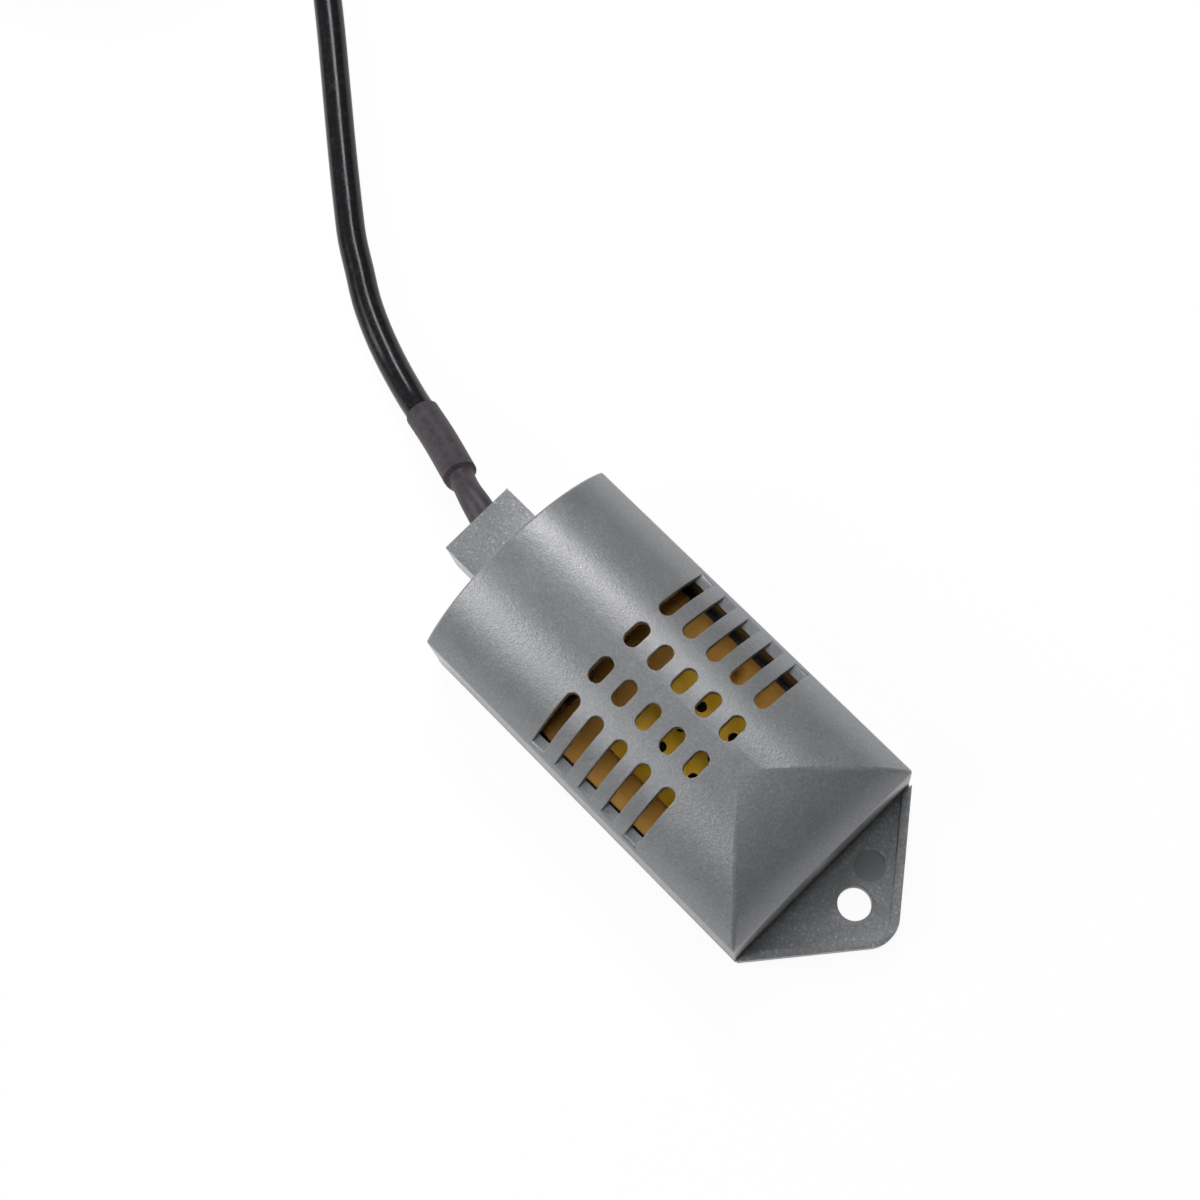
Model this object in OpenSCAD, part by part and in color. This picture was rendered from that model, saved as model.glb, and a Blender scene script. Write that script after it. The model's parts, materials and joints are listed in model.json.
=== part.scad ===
// Remote humidity probe of a humidistat: an arched, vented cover on a back part with a mounting
// tab, a sensor board inside, and a lead that ends in a small jack plug.
// Millimetres. +X runs from the cable end to the mounting tab, +Z up. The origin is the middle of
// the casing's footprint, on the surface that it lies on.

/* [Casing] */
// Width of the casing where the arched roof springs from the side walls
case_w = 30.5; // [29:0.5:34]
// Length of the cover
cover_l = 53.5; // [52:0.5:60]
// Height of the roof's crown above the table
crown_h = 22.5; // [21:0.5:26]
// Height at which the arched roof springs from the side walls
spring_h = 14.4; // [13.6:0.2:15.4]
// Length of the curved slope at the tab's end of the roof
hip_l = 14.5; // [13:0.5:17]
// Thickness of the cover's walls
wall_t = 1.8; // [1.4:0.1:2]
// Thickness of the roof at its crown
roof_t = 1.8; // [1.4:0.1:2.2]
// How far each side wall leans out between the spring line and the table
draft = 0.3; // [0:0.1:0.5]
// Thickness of the base plate under the cover
plate_t = 2; // [1.6:0.1:2.4]

/* [Vents] */
// Number of slots in each row
vent_count = 5; // [3:1:6]
// Distance from one slot to the next
vent_pitch = 4; // [3.6:0.1:4.4]
// Distance from the cover's cable end to the first slot
vent_start = 19.5; // [18:0.5:21]
// Width of every slot
vent_w = 2; // [1.6:0.1:2.4]
// Length of a short slot over its round ends
short_vent_l = 3.6; // [3:0.1:4.2]
// Distance of each row of short slots from the middle
short_vent_y = 3; // [2.4:0.1:3.4]
// Distance of a long slot's inner end from the middle
long_vent_y = 7; // [6.4:0.1:8]
// Height of the ledge where a long slot ends in the side wall
ledge_h = 15.2; // [15.1:0.1:15.8]

/* [Mounting tab] */
// How far the tab reaches past the cover
tab_l = 11.8; // [11:0.2:15]
// Height of the tab's floor
tab_floor_h = 3; // [2.6:0.1:3.6]
// Height of the tab's rim above its floor
rim_h = 1.2; // [0.8:0.1:1.8]
// Width of the tab's rim
rim_w = 1.1; // [0.8:0.1:1.4]
// Radius of the tab's round tip
tip_r = 3.9; // [3.4:0.1:4.4]
// Gap between the cover's end and the tab's raised floor
tab_gap = 0.2; // [0.15:0.05:0.6]
// Diameter of the mounting hole
hole_d = 4.3; // [3.5:0.1:4.5]
// Distance of the mounting hole from the tip
hole_inset = 6.1; // [5.6:0.1:6.6]
// Diameter of the round mark that the mould left in the tab's floor
mark_d = 4; // [3:0.1:4.2]
// Depth of that mark
mark_depth = 0.2; // [0.1:0.05:0.4]

/* [Cable block] */
// How far the block that holds the cable stands out of the cover
block_l = 6.7; // [5:0.1:9]
// Width of the block
block_w = 10.7; // [9.6:0.1:12]
// Height of the block's top
block_top = 15.2; // [14.4:0.1:16]
// Height of the block's underside
block_bottom = 5.5; // [4.5:0.1:6.4]
// How far the block reaches inside the cover
block_in = 3.5; // [3:0.1:3.8]
// Diameter of the cable passage
gland_d = 5.8; // [5.4:0.1:6.4]
// Distance of the cable passage from the middle
gland_y = 0.5; // [0.3:0.1:0.7]
// Height of the cable passage
gland_z = 10.4; // [10.2:0.1:10.6]

/* [Cover's pegs] */
// Diameter of the pegs that the cover pushes onto
peg_d = 3; // [2.6:0.1:3.2]
// Gap round each peg in its boss
peg_gap = 0.05; // [0.03:0.01:0.1]
// Outer diameter of the cover's bosses
boss_d = 5.2; // [4.8:0.1:5.4]
// Height of the pegs' tops
peg_top = 9; // [8:0.5:11]
// Gap between the bosses and the ends of the board
boss_end_gap = 0.8; // [0.5:0.1:1.2]
// Gap between the bosses and the cover's side walls
boss_side_gap = 0.65; // [0.4:0.05:1]

/* [Circuit board] */
// Distance from the cover's cable end to the board
board_from_cable = 8.9; // [8.6:0.1:9.4]
// Distance from the board to the cover's tab end
board_from_tab = 8.2; // [8:0.1:8.8]
// Gap between the board's long edges and the cover's side walls
board_side_gap = 0.8; // [0.5:0.1:1.2]
// Thickness of the board
board_t = 1.6; // [1:0.1:1.8]
// Height of the posts that the board lies on
post_h = 1.9; // [1.4:0.1:2.2]
// Diameter of the posts
post_d = 4.4; // [4:0.1:5]
// Distance of the posts from the board's edges
post_inset = 2.3; // [2.2:0.1:2.6]
// Diameter of the board's screws
screw_d = 1.9; // [1.6:0.1:2]
// Length of the board's screws under the head
screw_l = 4.6; // [4:0.1:4.8]
// Gap between a screw and the hole that it cuts its way into
screw_gap = 0.03; // [0.01:0.01:0.05]
// Gap round a screw or a pin where it passes through the board
hole_gap = 0.15; // [0.1:0.05:0.25]

/* [Sensor] */
// Length and width of the humidity sensor's case
sensor_w = 16.2; // [15.6:0.1:16.4]
// Height of the sensor's case
sensor_h = 5; // [4:0.1:6]
// Wall of the sensor's case
sensor_wall = 1; // [0.8:0.1:1.2]
// Distance of the sensor's middle from the board's end at the tab
sensor_from_end = 13.1; // [12.9:0.1:13.7]
// Diameter of the holes in the sensor's case
pore_d = 1.4; // [1:0.1:1.8]
// Distance between those holes along the casing
pore_dx = 2.8; // [2.4:0.1:3.6]
// Distance between those holes across the casing
pore_dy = 3.5; // [2.6:0.1:4]
// Side of the sensing plate inside the case
plate_w = 11; // [9:0.5:12]
// Thickness of the sensing plate
element_t = 0.8; // [0.6:0.1:1.2]
// Diameter of the sensor's pins
pin_d = 0.6; // [0.5:0.05:0.7]

/* [Lead] */
// Diameter of the cable
cable_d = 4; // [3.6:0.1:4]
// Diameter of the shrunk sleeve over the cable
sleeve_d = 4.6; // [4.4:0.1:4.8]
// Diameter of the sleeve where it grips the bare wires
sleeve_neck_d = 3.8; // [3.4:0.1:4]
// Diameter of each wire
wire_d = 1.1; // [0.9:0.05:1.2]
// Number of whole turns in the coil
coil_turn_count = 10; // [10:1:11]
// Distance between neighbouring turns of the coil
turn_pitch = 4.5; // [4.5:0.1:4.8]
// Radius of the coil's innermost turn
coil_in_r = 14.8; // [14.8:0.1:15.6]
// Width of the tie round the coil
tie_w = 5; // [3:0.5:8]
// Thickness of the tie
tie_t = 0.6; // [0.5:0.1:0.7]

/* [Plug] */
// Diameter of the jack's contacts
jack_d = 3.5; // [3.5:0.1:3.6]
// Length of the jack from its collar to its tip
jack_l = 14; // [14:0.5:15]
// Diameter of the plug's grip
grip_d = 8.4; // [7.6:0.1:9]
// Length of the plug's grip
grip_l = 16; // [13:0.5:18]
// Length of the tapered strain relief
boot_l = 12; // [9:0.5:14]

/* [Hidden] */

round_fn = 48;
small_fn = 24;
over = 1;

// Casing, along X: the whole length is centred on the origin
total_l = block_l + cover_l + tab_l;
cable_end = block_l - total_l / 2;
tab_end = cable_end + cover_l;
tip_x = total_l / 2;
half_w = case_w / 2;

// The roof is part of a round bar along X, and the slope at the tab's end part of one along Y
roof_rise = crown_h - spring_h;
roof_r = (half_w * half_w + roof_rise * roof_rise) / (2 * roof_rise);
// The slope's bar stands this much higher than the roof, so that the creases run out at the crown
crease_fade = 0.05;
hip_rise = roof_rise + crease_fade;
hip_r = (hip_l * hip_l + hip_rise * hip_rise) / (2 * hip_rise);
hip_x = tab_end - hip_l;

// The inside of the cover has straight walls up to just under the ledge of the long slots
inner_spring_h = ledge_h - 0.2;
inner_half_w = half_w - wall_t;
inner_crown_h = crown_h - roof_t;
inner_rise = inner_crown_h - inner_spring_h;
inner_roof_r = (inner_half_w * inner_half_w + inner_rise * inner_rise) / (2 * inner_rise);
block_clear = 0.15;

// Mounting tab: straight sides run from the casing's corners to the round tip
tab_start = tab_end + draft + tab_gap;
tab_half_w = half_w + draft * (1 - tab_floor_h / spring_h);
tip_x0 = tip_x - tip_r;
tab_side_angle = atan2(tab_half_w, tip_x0 - tab_start)
               - asin(tip_r / norm([tab_half_w, tip_x0 - tab_start]));
tip_steps = 12;
mark_from_hole = [-1.9, 4.6];

// Board and what stands on it
board_start = cable_end + board_from_cable;
board_end = tab_end - board_from_tab;
board_w = 2 * (inner_half_w - board_side_gap);
board_z = plate_t + post_h;
board_top = board_z + board_t;
post_x = [board_start + post_inset, board_end - post_inset];
post_y = board_w / 2 - post_inset;
peg_x = [board_start - boss_end_gap - boss_d / 2, board_end + boss_end_gap + boss_d / 2];
peg_y = inner_half_w - boss_side_gap - boss_d / 2;
screw_head_d = 3.8;
screw_head_h = 1.4;
screw_recess_w = 0.5;
screw_under = 0.3;
board_pip_d = screw_d;
board_pip_h = 0.9;
pin_up = 1.7;
pin_down = 1;
sensor_at = [board_end - sensor_from_end, -0.15];
sensor_pin_dx = 4;
sensor_pin_dy = 3;
pores_x = 3;
pores_y = 3;
bead_d = 1.9;
bead_before_middle = 4.1;
bead_beside_case = 2.2;
bead_at = sensor_at + [-bead_before_middle, sensor_w / 2 + bead_beside_case];
bead_h = 4.8;
bead_lead_d = 0.45;
bead_lead_gap = 1.2;
chip_at = [board_start + 5.5, -6.2];
chip_size = [4.9, 3.9, 1.5];
lead_pitch = 1.27;
lead_w = 0.4;
lead_t = 0.2;
lead_out = 1.05;
small_part = [2, 1.25, 0.55];
part_pitch = 2.2;
near_column = board_start + 4.4;
near_part_y = 4;
far_column = board_end - post_inset;
far_resistor_y = 0.8;
far_capacitor_y = -4;
capacitor_h = 1;
can_d = 4;
can_h = 4.6;
can_base = [4.3, 4.3, 0.8];
can_y = 5.5;
solder_d = 1.8;
solder_h = 0.9;
pad_x = board_start + 2.3;
pad_pitch = 2.6;

// The lead's route, from the board's wires out of the block and down to the table
wire_start_x = cable_end + block_in + 2.5;
wire_spread = 1.15;
sleeve_route = [[wire_start_x, gland_y, gland_z], [cable_end + 2, gland_y, gland_z],
                [cable_end - 1.7, gland_y, gland_z], [-34, 0.7, 10.4], [-36, 1, 10.35],
                [-37.7, 1.4, 10.2], [-40.6, 2.1, 9.5], [-43, 2.85, 8.6], [-43.7, 3.05, 8.3],
                [-49.4, 4.6, 6.1], [-54.6, 5.7, 4.4]];
sleeve_neck_rings = 8;
sleeve_end = sleeve_route[len(sleeve_route) - 1];
sleeve_heading = unit(sleeve_end - sleeve_route[len(sleeve_route) - 2]);
straight_l = 3;
coil_z = tie_t + 0.1 + cable_d / 2;
coil_at = [-155.7, 39.9];
coil_start_angle = 53;
coil_layers = 4;
exit_turn = 1 / 6;
coil_turns = coil_turn_count + exit_turn;
turns_per_layer = coil_turns / coil_layers;
coil_out_r = coil_in_r + turns_per_layer * turn_pitch;
climb_turns = 0.5;
rings_per_turn = 24;
coil_in_heading = coil_heading(0);
coil_out_heading = coil_heading(coil_turns);
coil_first = coil_point(0) - cable_d * coil_in_heading;
coil_last = coil_point(coil_turns) + cable_d * coil_out_heading;
cable_route = concat([sleeve_end, sleeve_end + straight_l * sleeve_heading],
                     [[-63.6, 8, 2.3], [-68.4, 9.7, 2.1], [-72.6, 11.6, 2], [-76.5, 13.9, 2],
                      [-80.4, 16.2, 2], [-84, 18.8, 2], [-91, 24.1, 2], [-98.2, 29.7, 2],
                      [-105.4, 35.3, 2], [-113, 41, 2], [-121, 47, 2.3], [-128, 52.2, 2.7]],
                     [coil_first - straight_l * coil_in_heading, coil_first]);
plug_at = [-184.5, 27.4, grip_d / 2];
tail_route = concat([coil_last, coil_last + straight_l * coil_out_heading],
                    [[-176.3, 59.5, 15.3], [-180.6, 57, 13.4], [-183.8, 53.2, 11.2],
                     [-185.8, 48.4, 9], [-186.6, 43, 7], [-186.4, 37.5, 5.4],
                     [-185.3, 33, 4.5]],
                    [plug_at + [0, straight_l, 0], plug_at]);
cable_sides = 8;
coil_sides = 6;
sleeve_sides = 12;
tie_angle = coil_start_angle + 180;
tie_clear = 0.3;
tie_corner = 3;

// Jack plug, along its own axis from the cable
boot_d = 6.6;
boot_end_d = 4.8;
collar_d = 6;
collar_l = 1;
ring_contact_l = 1.8;
insulator_l = 0.8;
tip_contact_l = 3.4;
sleeve_contact_l = jack_l - tip_contact_l - ring_contact_l - 2 * insulator_l;
grip_z = boot_l;
collar_z = grip_z + grip_l;
contact_z = collar_z + collar_l;
ring_z = contact_z + sleeve_contact_l + insulator_l;
tip_z = ring_z + ring_contact_l + insulator_l;

casing_colour = [0.47, 0.49, 0.49];
board_colour = [0.62, 0.4, 0.13];
amber = [0.62, 0.46, 0.05];
black = [0.09, 0.09, 0.1];
metal = [0.78, 0.78, 0.8];

// Swept tubes

function unit(v) = v / norm(v);

function heading(path, i) =
    i == 0 ? unit(path[1] - path[0]) :
    i == len(path) - 1 ? unit(path[i] - path[i - 1]) :
    unit(unit(path[i + 1] - path[i]) + unit(path[i] - path[i - 1]));

// The corners of a tube's ring round a point, square to its heading
function ring_at(centre, along, r, sides, across) =
    let (u = unit(cross(across, along)), v = cross(along, u))
    [for (k = [0 : sides - 1])
        centre + r * (cos(360 * (k + 0.5) / sides) * u + sin(360 * (k + 0.5) / sides) * v)];

function total(list, i = 0) = i < len(list) ? list[i] + total(list, i + 1) : 0;

function path_length(path) =
    total([for (i = [1 : len(path) - 1]) norm(path[i] - path[i - 1])]);

// One closed tube of triangles through a path, with its own radius at each point
module tube(path, radii, sides, across = [0, 0, 1]) {
    last = len(path) - 1;
    points = [for (i = [0 : last])
        each ring_at(path[i], heading(path, i), radii[i], sides, across)];
    walls = [for (i = [0 : last - 1], k = [0 : sides - 1])
        let (a = i * sides + k, b = i * sides + (k + 1) % sides)
        each [[a, a + sides, b], [b, a + sides, b + sides]]];
    start_cap = [for (k = [1 : sides - 2]) [0, k, k + 1]];
    end_cap = [for (k = [1 : sides - 2]) [last * sides, last * sides + k + 1, last * sides + k]];
    polyhedron(points, concat(walls, start_cap, end_cap));
}

module even_tube(path, d, sides, across = [0, 0, 1])
    tube(path, [for (p = path) d / 2], sides, across);

// The coil: its radius runs in and out again at a steady rate, one layer for each run, and it
// climbs to the next layer in the half turn where the run reverses

function smooth(t) = t <= 0 ? 0 : t >= 1 ? 1 : t * t * (3 - 2 * t);

function coil_radius(turn) =
    let (run = floor(turn / turns_per_layer), part = turn - run * turns_per_layer)
    run % 2 == 0 ? coil_out_r - turn_pitch * part : coil_in_r + turn_pitch * part;

function coil_layer(turn) =
    total([for (k = [1 : coil_layers - 1])
        smooth((turn - k * turns_per_layer + climb_turns / 2) / climb_turns)]);

function coil_point(turn) =
    let (a = coil_start_angle + 360 * turn, r = coil_radius(turn))
    [coil_at[0] + r * cos(a), coil_at[1] + r * sin(a), coil_z + turn_pitch * coil_layer(turn)];

function coil_heading(turn) =
    let (a = coil_start_angle + 360 * turn)
    [-sin(a), cos(a), 0];

coil_steps = round(coil_turns * rings_per_turn);
coil_line = [for (i = [0 : coil_steps]) coil_point(coil_turns * i / coil_steps)];
coil_path = concat([coil_first], coil_line, [coil_last]);
half_turn = rings_per_turn / 2;
coil_gap = min([for (i = [0 : len(coil_line) - 1])
    if (i + half_turn < len(coil_line))
        min([for (j = [i + half_turn : len(coil_line) - 1]) norm(coil_line[i] - coil_line[j])])])
    - cable_d;
free_length = path_length(cable_route) + path_length(coil_path) + path_length(tail_route);
echo(coil_gap_mm = coil_gap, free_length_mm = free_length);

// Shared forms

// The walls' outer form, leaning out to the table on all four sides, or a smaller one inside it
module leaning_walls(inset, bottom, top) {
    lean = draft / spring_h;
    low = draft - lean * bottom;
    high = draft - lean * top;
    side = half_w - inset;
    near = cable_end + inset;
    far = tab_end - inset;
    intersection() {
        translate([near - draft - over, 0, 0])
            rotate([90, 0, 90])
                linear_extrude(far - near + 2 * draft + 2 * over)
                    polygon([[-side - low, bottom], [side + low, bottom],
                             [side + high, top], [-side - high, top]]);
        translate([0, half_w + draft + over, 0])
            rotate([90, 0, 0])
                linear_extrude(case_w + 2 * draft + 2 * over)
                    polygon([[near - low, bottom], [far + low, bottom],
                             [far + high, top], [near - high, top]]);
    }
}

// A round bar along X whose top is at the height given
module roof_bar(r, top)
    translate([cable_end - 2 * over, 0, top - r])
        rotate([0, 90, 0])
            cylinder(r = r, h = cover_l + 4 * over, $fn = round_fn);

// A block up to the slope, and from there a round bar along Y
module hip_bar(r, top) {
    translate([cable_end - 2 * over, -half_w - 2 * over, -over])
        cube([cover_l - hip_l + 2 * over, case_w + 4 * over, crown_h + 3 * over]);
    translate([hip_x, half_w + 2 * over, top - r])
        rotate([90, 0, 0])
            cylinder(r = r, h = case_w + 4 * over, $fn = round_fn);
}

module cover_form()
    intersection() {
        leaning_walls(0, plate_t, crown_h + over);
        roof_bar(roof_r, crown_h);
        hip_bar(hip_r, crown_h + crease_fade);
    }

module cover_inside()
    intersection() {
        leaning_walls(wall_t, plate_t - over, crown_h + over);
        roof_bar(inner_roof_r, inner_crown_h);
        hip_bar(hip_r - roof_t, inner_crown_h + crease_fade);
    }

module at_pegs()
    for (x = peg_x, y = [-peg_y, peg_y])
        translate([x, y, 0])
            children();

// A slot straight down through the roof, with round ends
module slot(y_in, y_out, floor_z) {
    for (y = [y_in, y_out])
        translate([0, y, floor_z])
            cylinder(d = vent_w, h = crown_h, $fn = small_fn);
    translate([-vent_w / 2, min(y_in, y_out), floor_z])
        cube([vent_w, abs(y_out - y_in), crown_h]);
}

module vents() {
    short_half = (short_vent_l - vent_w) / 2;
    for (i = [0 : vent_count - 1])
        translate([cable_end + vent_start + i * vent_pitch, 0, 0])
            for (side = [-1, 1]) {
                slot(side * short_vent_y - short_half, side * short_vent_y + short_half, ledge_h);
                slot(side * (long_vent_y + vent_w / 2), side * (half_w + vent_w), ledge_h);
            }
}

// Casing

module front_cover()
    color(casing_colour)
        difference() {
            union() {
                difference() {
                    cover_form();
                    cover_inside();
                }
                intersection() {
                    at_pegs()
                        translate([0, 0, board_top])
                            cylinder(d = boss_d, h = crown_h, $fn = round_fn);
                    cover_form();
                }
            }
            vents();
            at_pegs()
                translate([0, 0, -over])
                    cylinder(d = peg_d + 2 * peg_gap, h = peg_top + 2 * over, $fn = round_fn);
            translate([cable_end - draft - over, -block_w / 2 - block_clear, -over])
                cube([wall_t + draft + 2 * over, block_w + 2 * block_clear,
                      block_top + block_clear + over]);
        }

// The tab's outline, with its straight sides run back to the given start
function tab_outline(start, inset) =
    let (r = tip_r - inset, normal = 90 - tab_side_angle,
         side_x = tip_x0 + r * cos(normal), side_y = r * sin(normal),
         back_y = side_y + (side_x - start) * tan(tab_side_angle))
    concat([[start, -back_y]],
           [for (k = [-tip_steps : tip_steps])
               let (a = normal * k / tip_steps)
               [tip_x0 + r * cos(a), r * sin(a)]],
           [[start, back_y]]);

module mounting_tab() {
    hole_x = tip_x - hole_inset;
    under = tab_end + draft / 2;
    difference() {
        union() {
            linear_extrude(plate_t)
                intersection() {
                    polygon(tab_outline(under - over, 0));
                    translate([under - over, -half_w - draft / 2])
                        square([tab_l + 2 * over, case_w + draft]);
                }
            linear_extrude(tab_floor_h + rim_h)
                polygon(tab_outline(tab_start, 0));
        }
        translate([0, 0, tab_floor_h])
            linear_extrude(rim_h + over)
                polygon(tab_outline(tab_start - over, rim_w));
        translate([hole_x, 0, -over])
            cylinder(d = hole_d, h = tab_floor_h + 2 * over, $fn = round_fn);
        translate([hole_x + mark_from_hole[0], mark_from_hole[1], tab_floor_h - mark_depth])
            cylinder(d = mark_d, h = rim_h, $fn = round_fn);
    }
}

module cable_block()
    difference() {
        union() {
            translate([-total_l / 2, -block_w / 2, block_bottom])
                cube([block_l + block_in, block_w, block_top - block_bottom]);
            translate([cable_end, -block_w / 2, plate_t / 2])
                cube([block_in, block_w, block_top - plate_t / 2]);
        }
        translate([-total_l / 2 - over, gland_y, gland_z])
            rotate([0, 90, 0])
                cylinder(d = gland_d, h = block_l + block_in + 2 * over, $fn = round_fn);
    }

module at_posts()
    for (x = post_x, y = [-post_y, post_y])
        translate([x, y, 0])
            children();

// Screws stand at two opposite corners of the board and pips at the other two
module at_screws()
    for (k = [0, 1])
        translate([post_x[k], (k == 0 ? 1 : -1) * post_y, 0])
            children();

module at_pips()
    for (k = [0, 1])
        translate([post_x[k], (k == 0 ? -1 : 1) * post_y, 0])
            children();

module back_housing()
    color(casing_colour)
        difference() {
            union() {
                leaning_walls(0, 0, plate_t);
                mounting_tab();
                cable_block();
                at_posts()
                    cylinder(d = post_d, h = board_z, $fn = small_fn);
                at_pips()
                    cylinder(d = board_pip_d, h = board_top + board_pip_h, $fn = small_fn);
                at_pegs()
                    cylinder(d = peg_d, h = peg_top, $fn = round_fn);
            }
            at_screws()
                translate([0, 0, board_top - screw_l - screw_under])
                    cylinder(d = screw_d + 2 * screw_gap, h = board_top, $fn = small_fn);
        }

// Circuit board and what stands on it

module on_board(x, y)
    translate([x, y, board_top])
        children();

module at_sensor_pins()
    for (x = [-sensor_pin_dx, sensor_pin_dx], y = [-sensor_pin_dy, sensor_pin_dy])
        translate([sensor_at[0] + x, sensor_at[1] + y, 0])
            children();

module circuit_board()
    color(board_colour)
        difference() {
            translate([board_start, -board_w / 2, board_z])
                cube([board_end - board_start, board_w, board_t]);
            at_posts()
                translate([0, 0, board_z - over])
                    cylinder(d = screw_d + 2 * hole_gap, h = board_t + 2 * over, $fn = small_fn);
            at_sensor_pins()
                translate([0, 0, board_z - over])
                    cylinder(d = pin_d + 2 * hole_gap, h = board_t + 2 * over, $fn = small_fn);
        }

module board_screws()
    color(metal)
        at_screws()
            difference() {
                union() {
                    translate([0, 0, board_top - screw_l])
                        cylinder(d = screw_d, h = screw_l + screw_head_h / 2, $fn = small_fn);
                    translate([0, 0, board_top])
                        cylinder(d = screw_head_d, h = screw_head_h, $fn = small_fn);
                }
                for (a = [0, 90])
                    rotate([0, 0, a])
                        translate([-screw_head_d / 3, -screw_recess_w / 2,
                                   board_top + screw_head_h / 2])
                            cube([screw_head_d * 2 / 3, screw_recess_w, screw_head_h]);
            }

module humidity_sensor_case()
    color(amber)
        translate([sensor_at[0], sensor_at[1], board_top])
            difference() {
                translate([-sensor_w / 2, -sensor_w / 2, 0])
                    cube([sensor_w, sensor_w, sensor_h]);
                translate([sensor_wall - sensor_w / 2, sensor_wall - sensor_w / 2, -over])
                    cube([sensor_w - 2 * sensor_wall, sensor_w - 2 * sensor_wall,
                          sensor_h - sensor_wall + over]);
                for (i = [0 : pores_x - 1], j = [0 : pores_y - 1])
                    translate([(i - (pores_x - 1) / 2) * pore_dx, (j - (pores_y - 1) / 2) * pore_dy,
                               sensor_h - sensor_wall - over])
                        cylinder(d = pore_d, h = sensor_wall + 2 * over, $fn = small_fn);
            }

module humidity_element()
    color([0.92, 0.9, 0.84])
        translate([sensor_at[0] - plate_w / 2, sensor_at[1] - plate_w / 2, board_top + pin_up])
            cube([plate_w, plate_w, element_t]);

module sensor_pins()
    color(metal)
        at_sensor_pins()
            translate([0, 0, board_z - pin_down])
                cylinder(d = pin_d, h = pin_down + board_t + pin_up, $fn = small_fn);

module thermistor_bead()
    color([0.08, 0.08, 0.09])
        on_board(bead_at[0], bead_at[1])
            translate([0, 0, bead_h])
                sphere(d = bead_d, $fn = small_fn);

module thermistor_leads()
    color(metal)
        on_board(bead_at[0], bead_at[1])
            difference() {
                for (y = [-bead_lead_gap / 2, bead_lead_gap / 2])
                    translate([0, y, 0])
                        cylinder(d = bead_lead_d, h = bead_h, $fn = small_fn);
                translate([0, 0, bead_h])
                    sphere(d = bead_d, $fn = small_fn);
            }

module signal_chip()
    color(black)
        on_board(chip_at[0], chip_at[1])
            translate([-chip_size[0] / 2, -chip_size[1] / 2, lead_t])
                cube(chip_size);

module chip_leads()
    color(metal)
        on_board(chip_at[0], chip_at[1])
            for (side = [0, 180], i = [-1.5 : 1.5])
                rotate([0, 0, side])
                    translate([i * lead_pitch - lead_w / 2, chip_size[1] / 2, 0]) {
                        translate([0, lead_out / 2 - lead_t, 0])
                            cube([lead_w, lead_out / 2 + lead_t, lead_t]);
                        translate([0, lead_out / 2 - lead_t, 0])
                            cube([lead_w, lead_t, chip_size[2] / 2 + lead_t]);
                        translate([0, 0, chip_size[2] / 2])
                            cube([lead_w, lead_out / 2, lead_t]);
                    }

module small_parts(places, size)
    for (p = places)
        on_board(p[0], p[1])
            translate([-size[0] / 2, -size[1] / 2, 0])
                cube(size);

module chip_resistors()
    color(black)
        small_parts([for (k = [0, 1])
            each [[near_column, near_part_y + k * part_pitch],
                  [far_column, far_resistor_y - k * part_pitch]]], small_part);

module chip_capacitors()
    color([0.72, 0.6, 0.42])
        small_parts([for (k = [0, 1]) [far_column, far_capacitor_y - k * part_pitch]],
                    [small_part[0], small_part[1], capacitor_h]);

module electrolytic_can()
    color(metal)
        on_board(far_column, can_y)
            translate([0, 0, can_base[2]])
                cylinder(d = can_d, h = can_h, $fn = round_fn);

module electrolytic_base()
    color(black)
        small_parts([[far_column, can_y]], can_base);

module solder_joints()
    color(metal)
        for (k = [-1 : 1])
            on_board(pad_x, k * pad_pitch)
                cylinder(d1 = solder_d, d2 = wire_d, h = solder_h, $fn = small_fn);

// Lead

// One wire from the sleeve's inner end, over and down to its own pad
module board_wire(k) {
    y0 = gland_y + k * wire_spread;
    y1 = k * pad_pitch;
    drop = gland_z - board_top - solder_h;
    run = pad_x - wire_start_x;
    path = [[wire_start_x, y0, gland_z],
            [wire_start_x + 0.1 * run, y0, gland_z],
            [wire_start_x + 0.32 * run, y0 + 0.15 * (y1 - y0), gland_z - 0.04 * drop],
            [wire_start_x + 0.6 * run, y0 + 0.6 * (y1 - y0), gland_z - 0.2 * drop],
            [wire_start_x + 0.85 * run, y0 + 0.93 * (y1 - y0), gland_z - 0.45 * drop],
            [pad_x, y1, gland_z - 0.75 * drop],
            [pad_x, y1, gland_z - drop]];
    even_tube(path, wire_d, cable_sides, [0, 1, 0]);
}

module power_wire()
    color([0.75, 0.08, 0.06])
        board_wire(-1);

module ground_wire()
    color(black)
        board_wire(0);

module signal_wire()
    color([0.88, 0.74, 0.1])
        board_wire(1);

// A nylon tie that grips the sleeve inside the block, so that a pull can't reach the board
module inner_cable_tie() {
    band = 1.7;
    band_t = 0.9;
    bore_d = sleeve_neck_d + 0.1;
    color([0.9, 0.9, 0.88])
        translate([cable_end + block_in + 0.2, gland_y, gland_z])
            difference() {
                union() {
                    rotate([0, 90, 0])
                        cylinder(d = bore_d + 2 * band_t, h = band, $fn = round_fn);
                    translate([0, -1.5, bore_d / 2])
                        cube([band, 3, 2.2]);
                }
                translate([-over, 0, 0])
                    rotate([0, 90, 0])
                        cylinder(d = bore_d, h = band + 2 * over, $fn = round_fn);
            }
}

module heat_shrink_sleeve() {
    last = len(sleeve_route) - 1;
    color(black)
        tube(sleeve_route,
             [for (i = [0 : last]) (i < sleeve_neck_rings ? sleeve_neck_d : sleeve_d) / 2],
             sleeve_sides);
}

module cable()
    color(black)
        even_tube(cable_route, cable_d, cable_sides);

module cable_coil()
    color(black)
        even_tube(coil_path, cable_d, coil_sides);

module cable_tail()
    color(black)
        even_tube(tail_route, cable_d, cable_sides);

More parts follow.
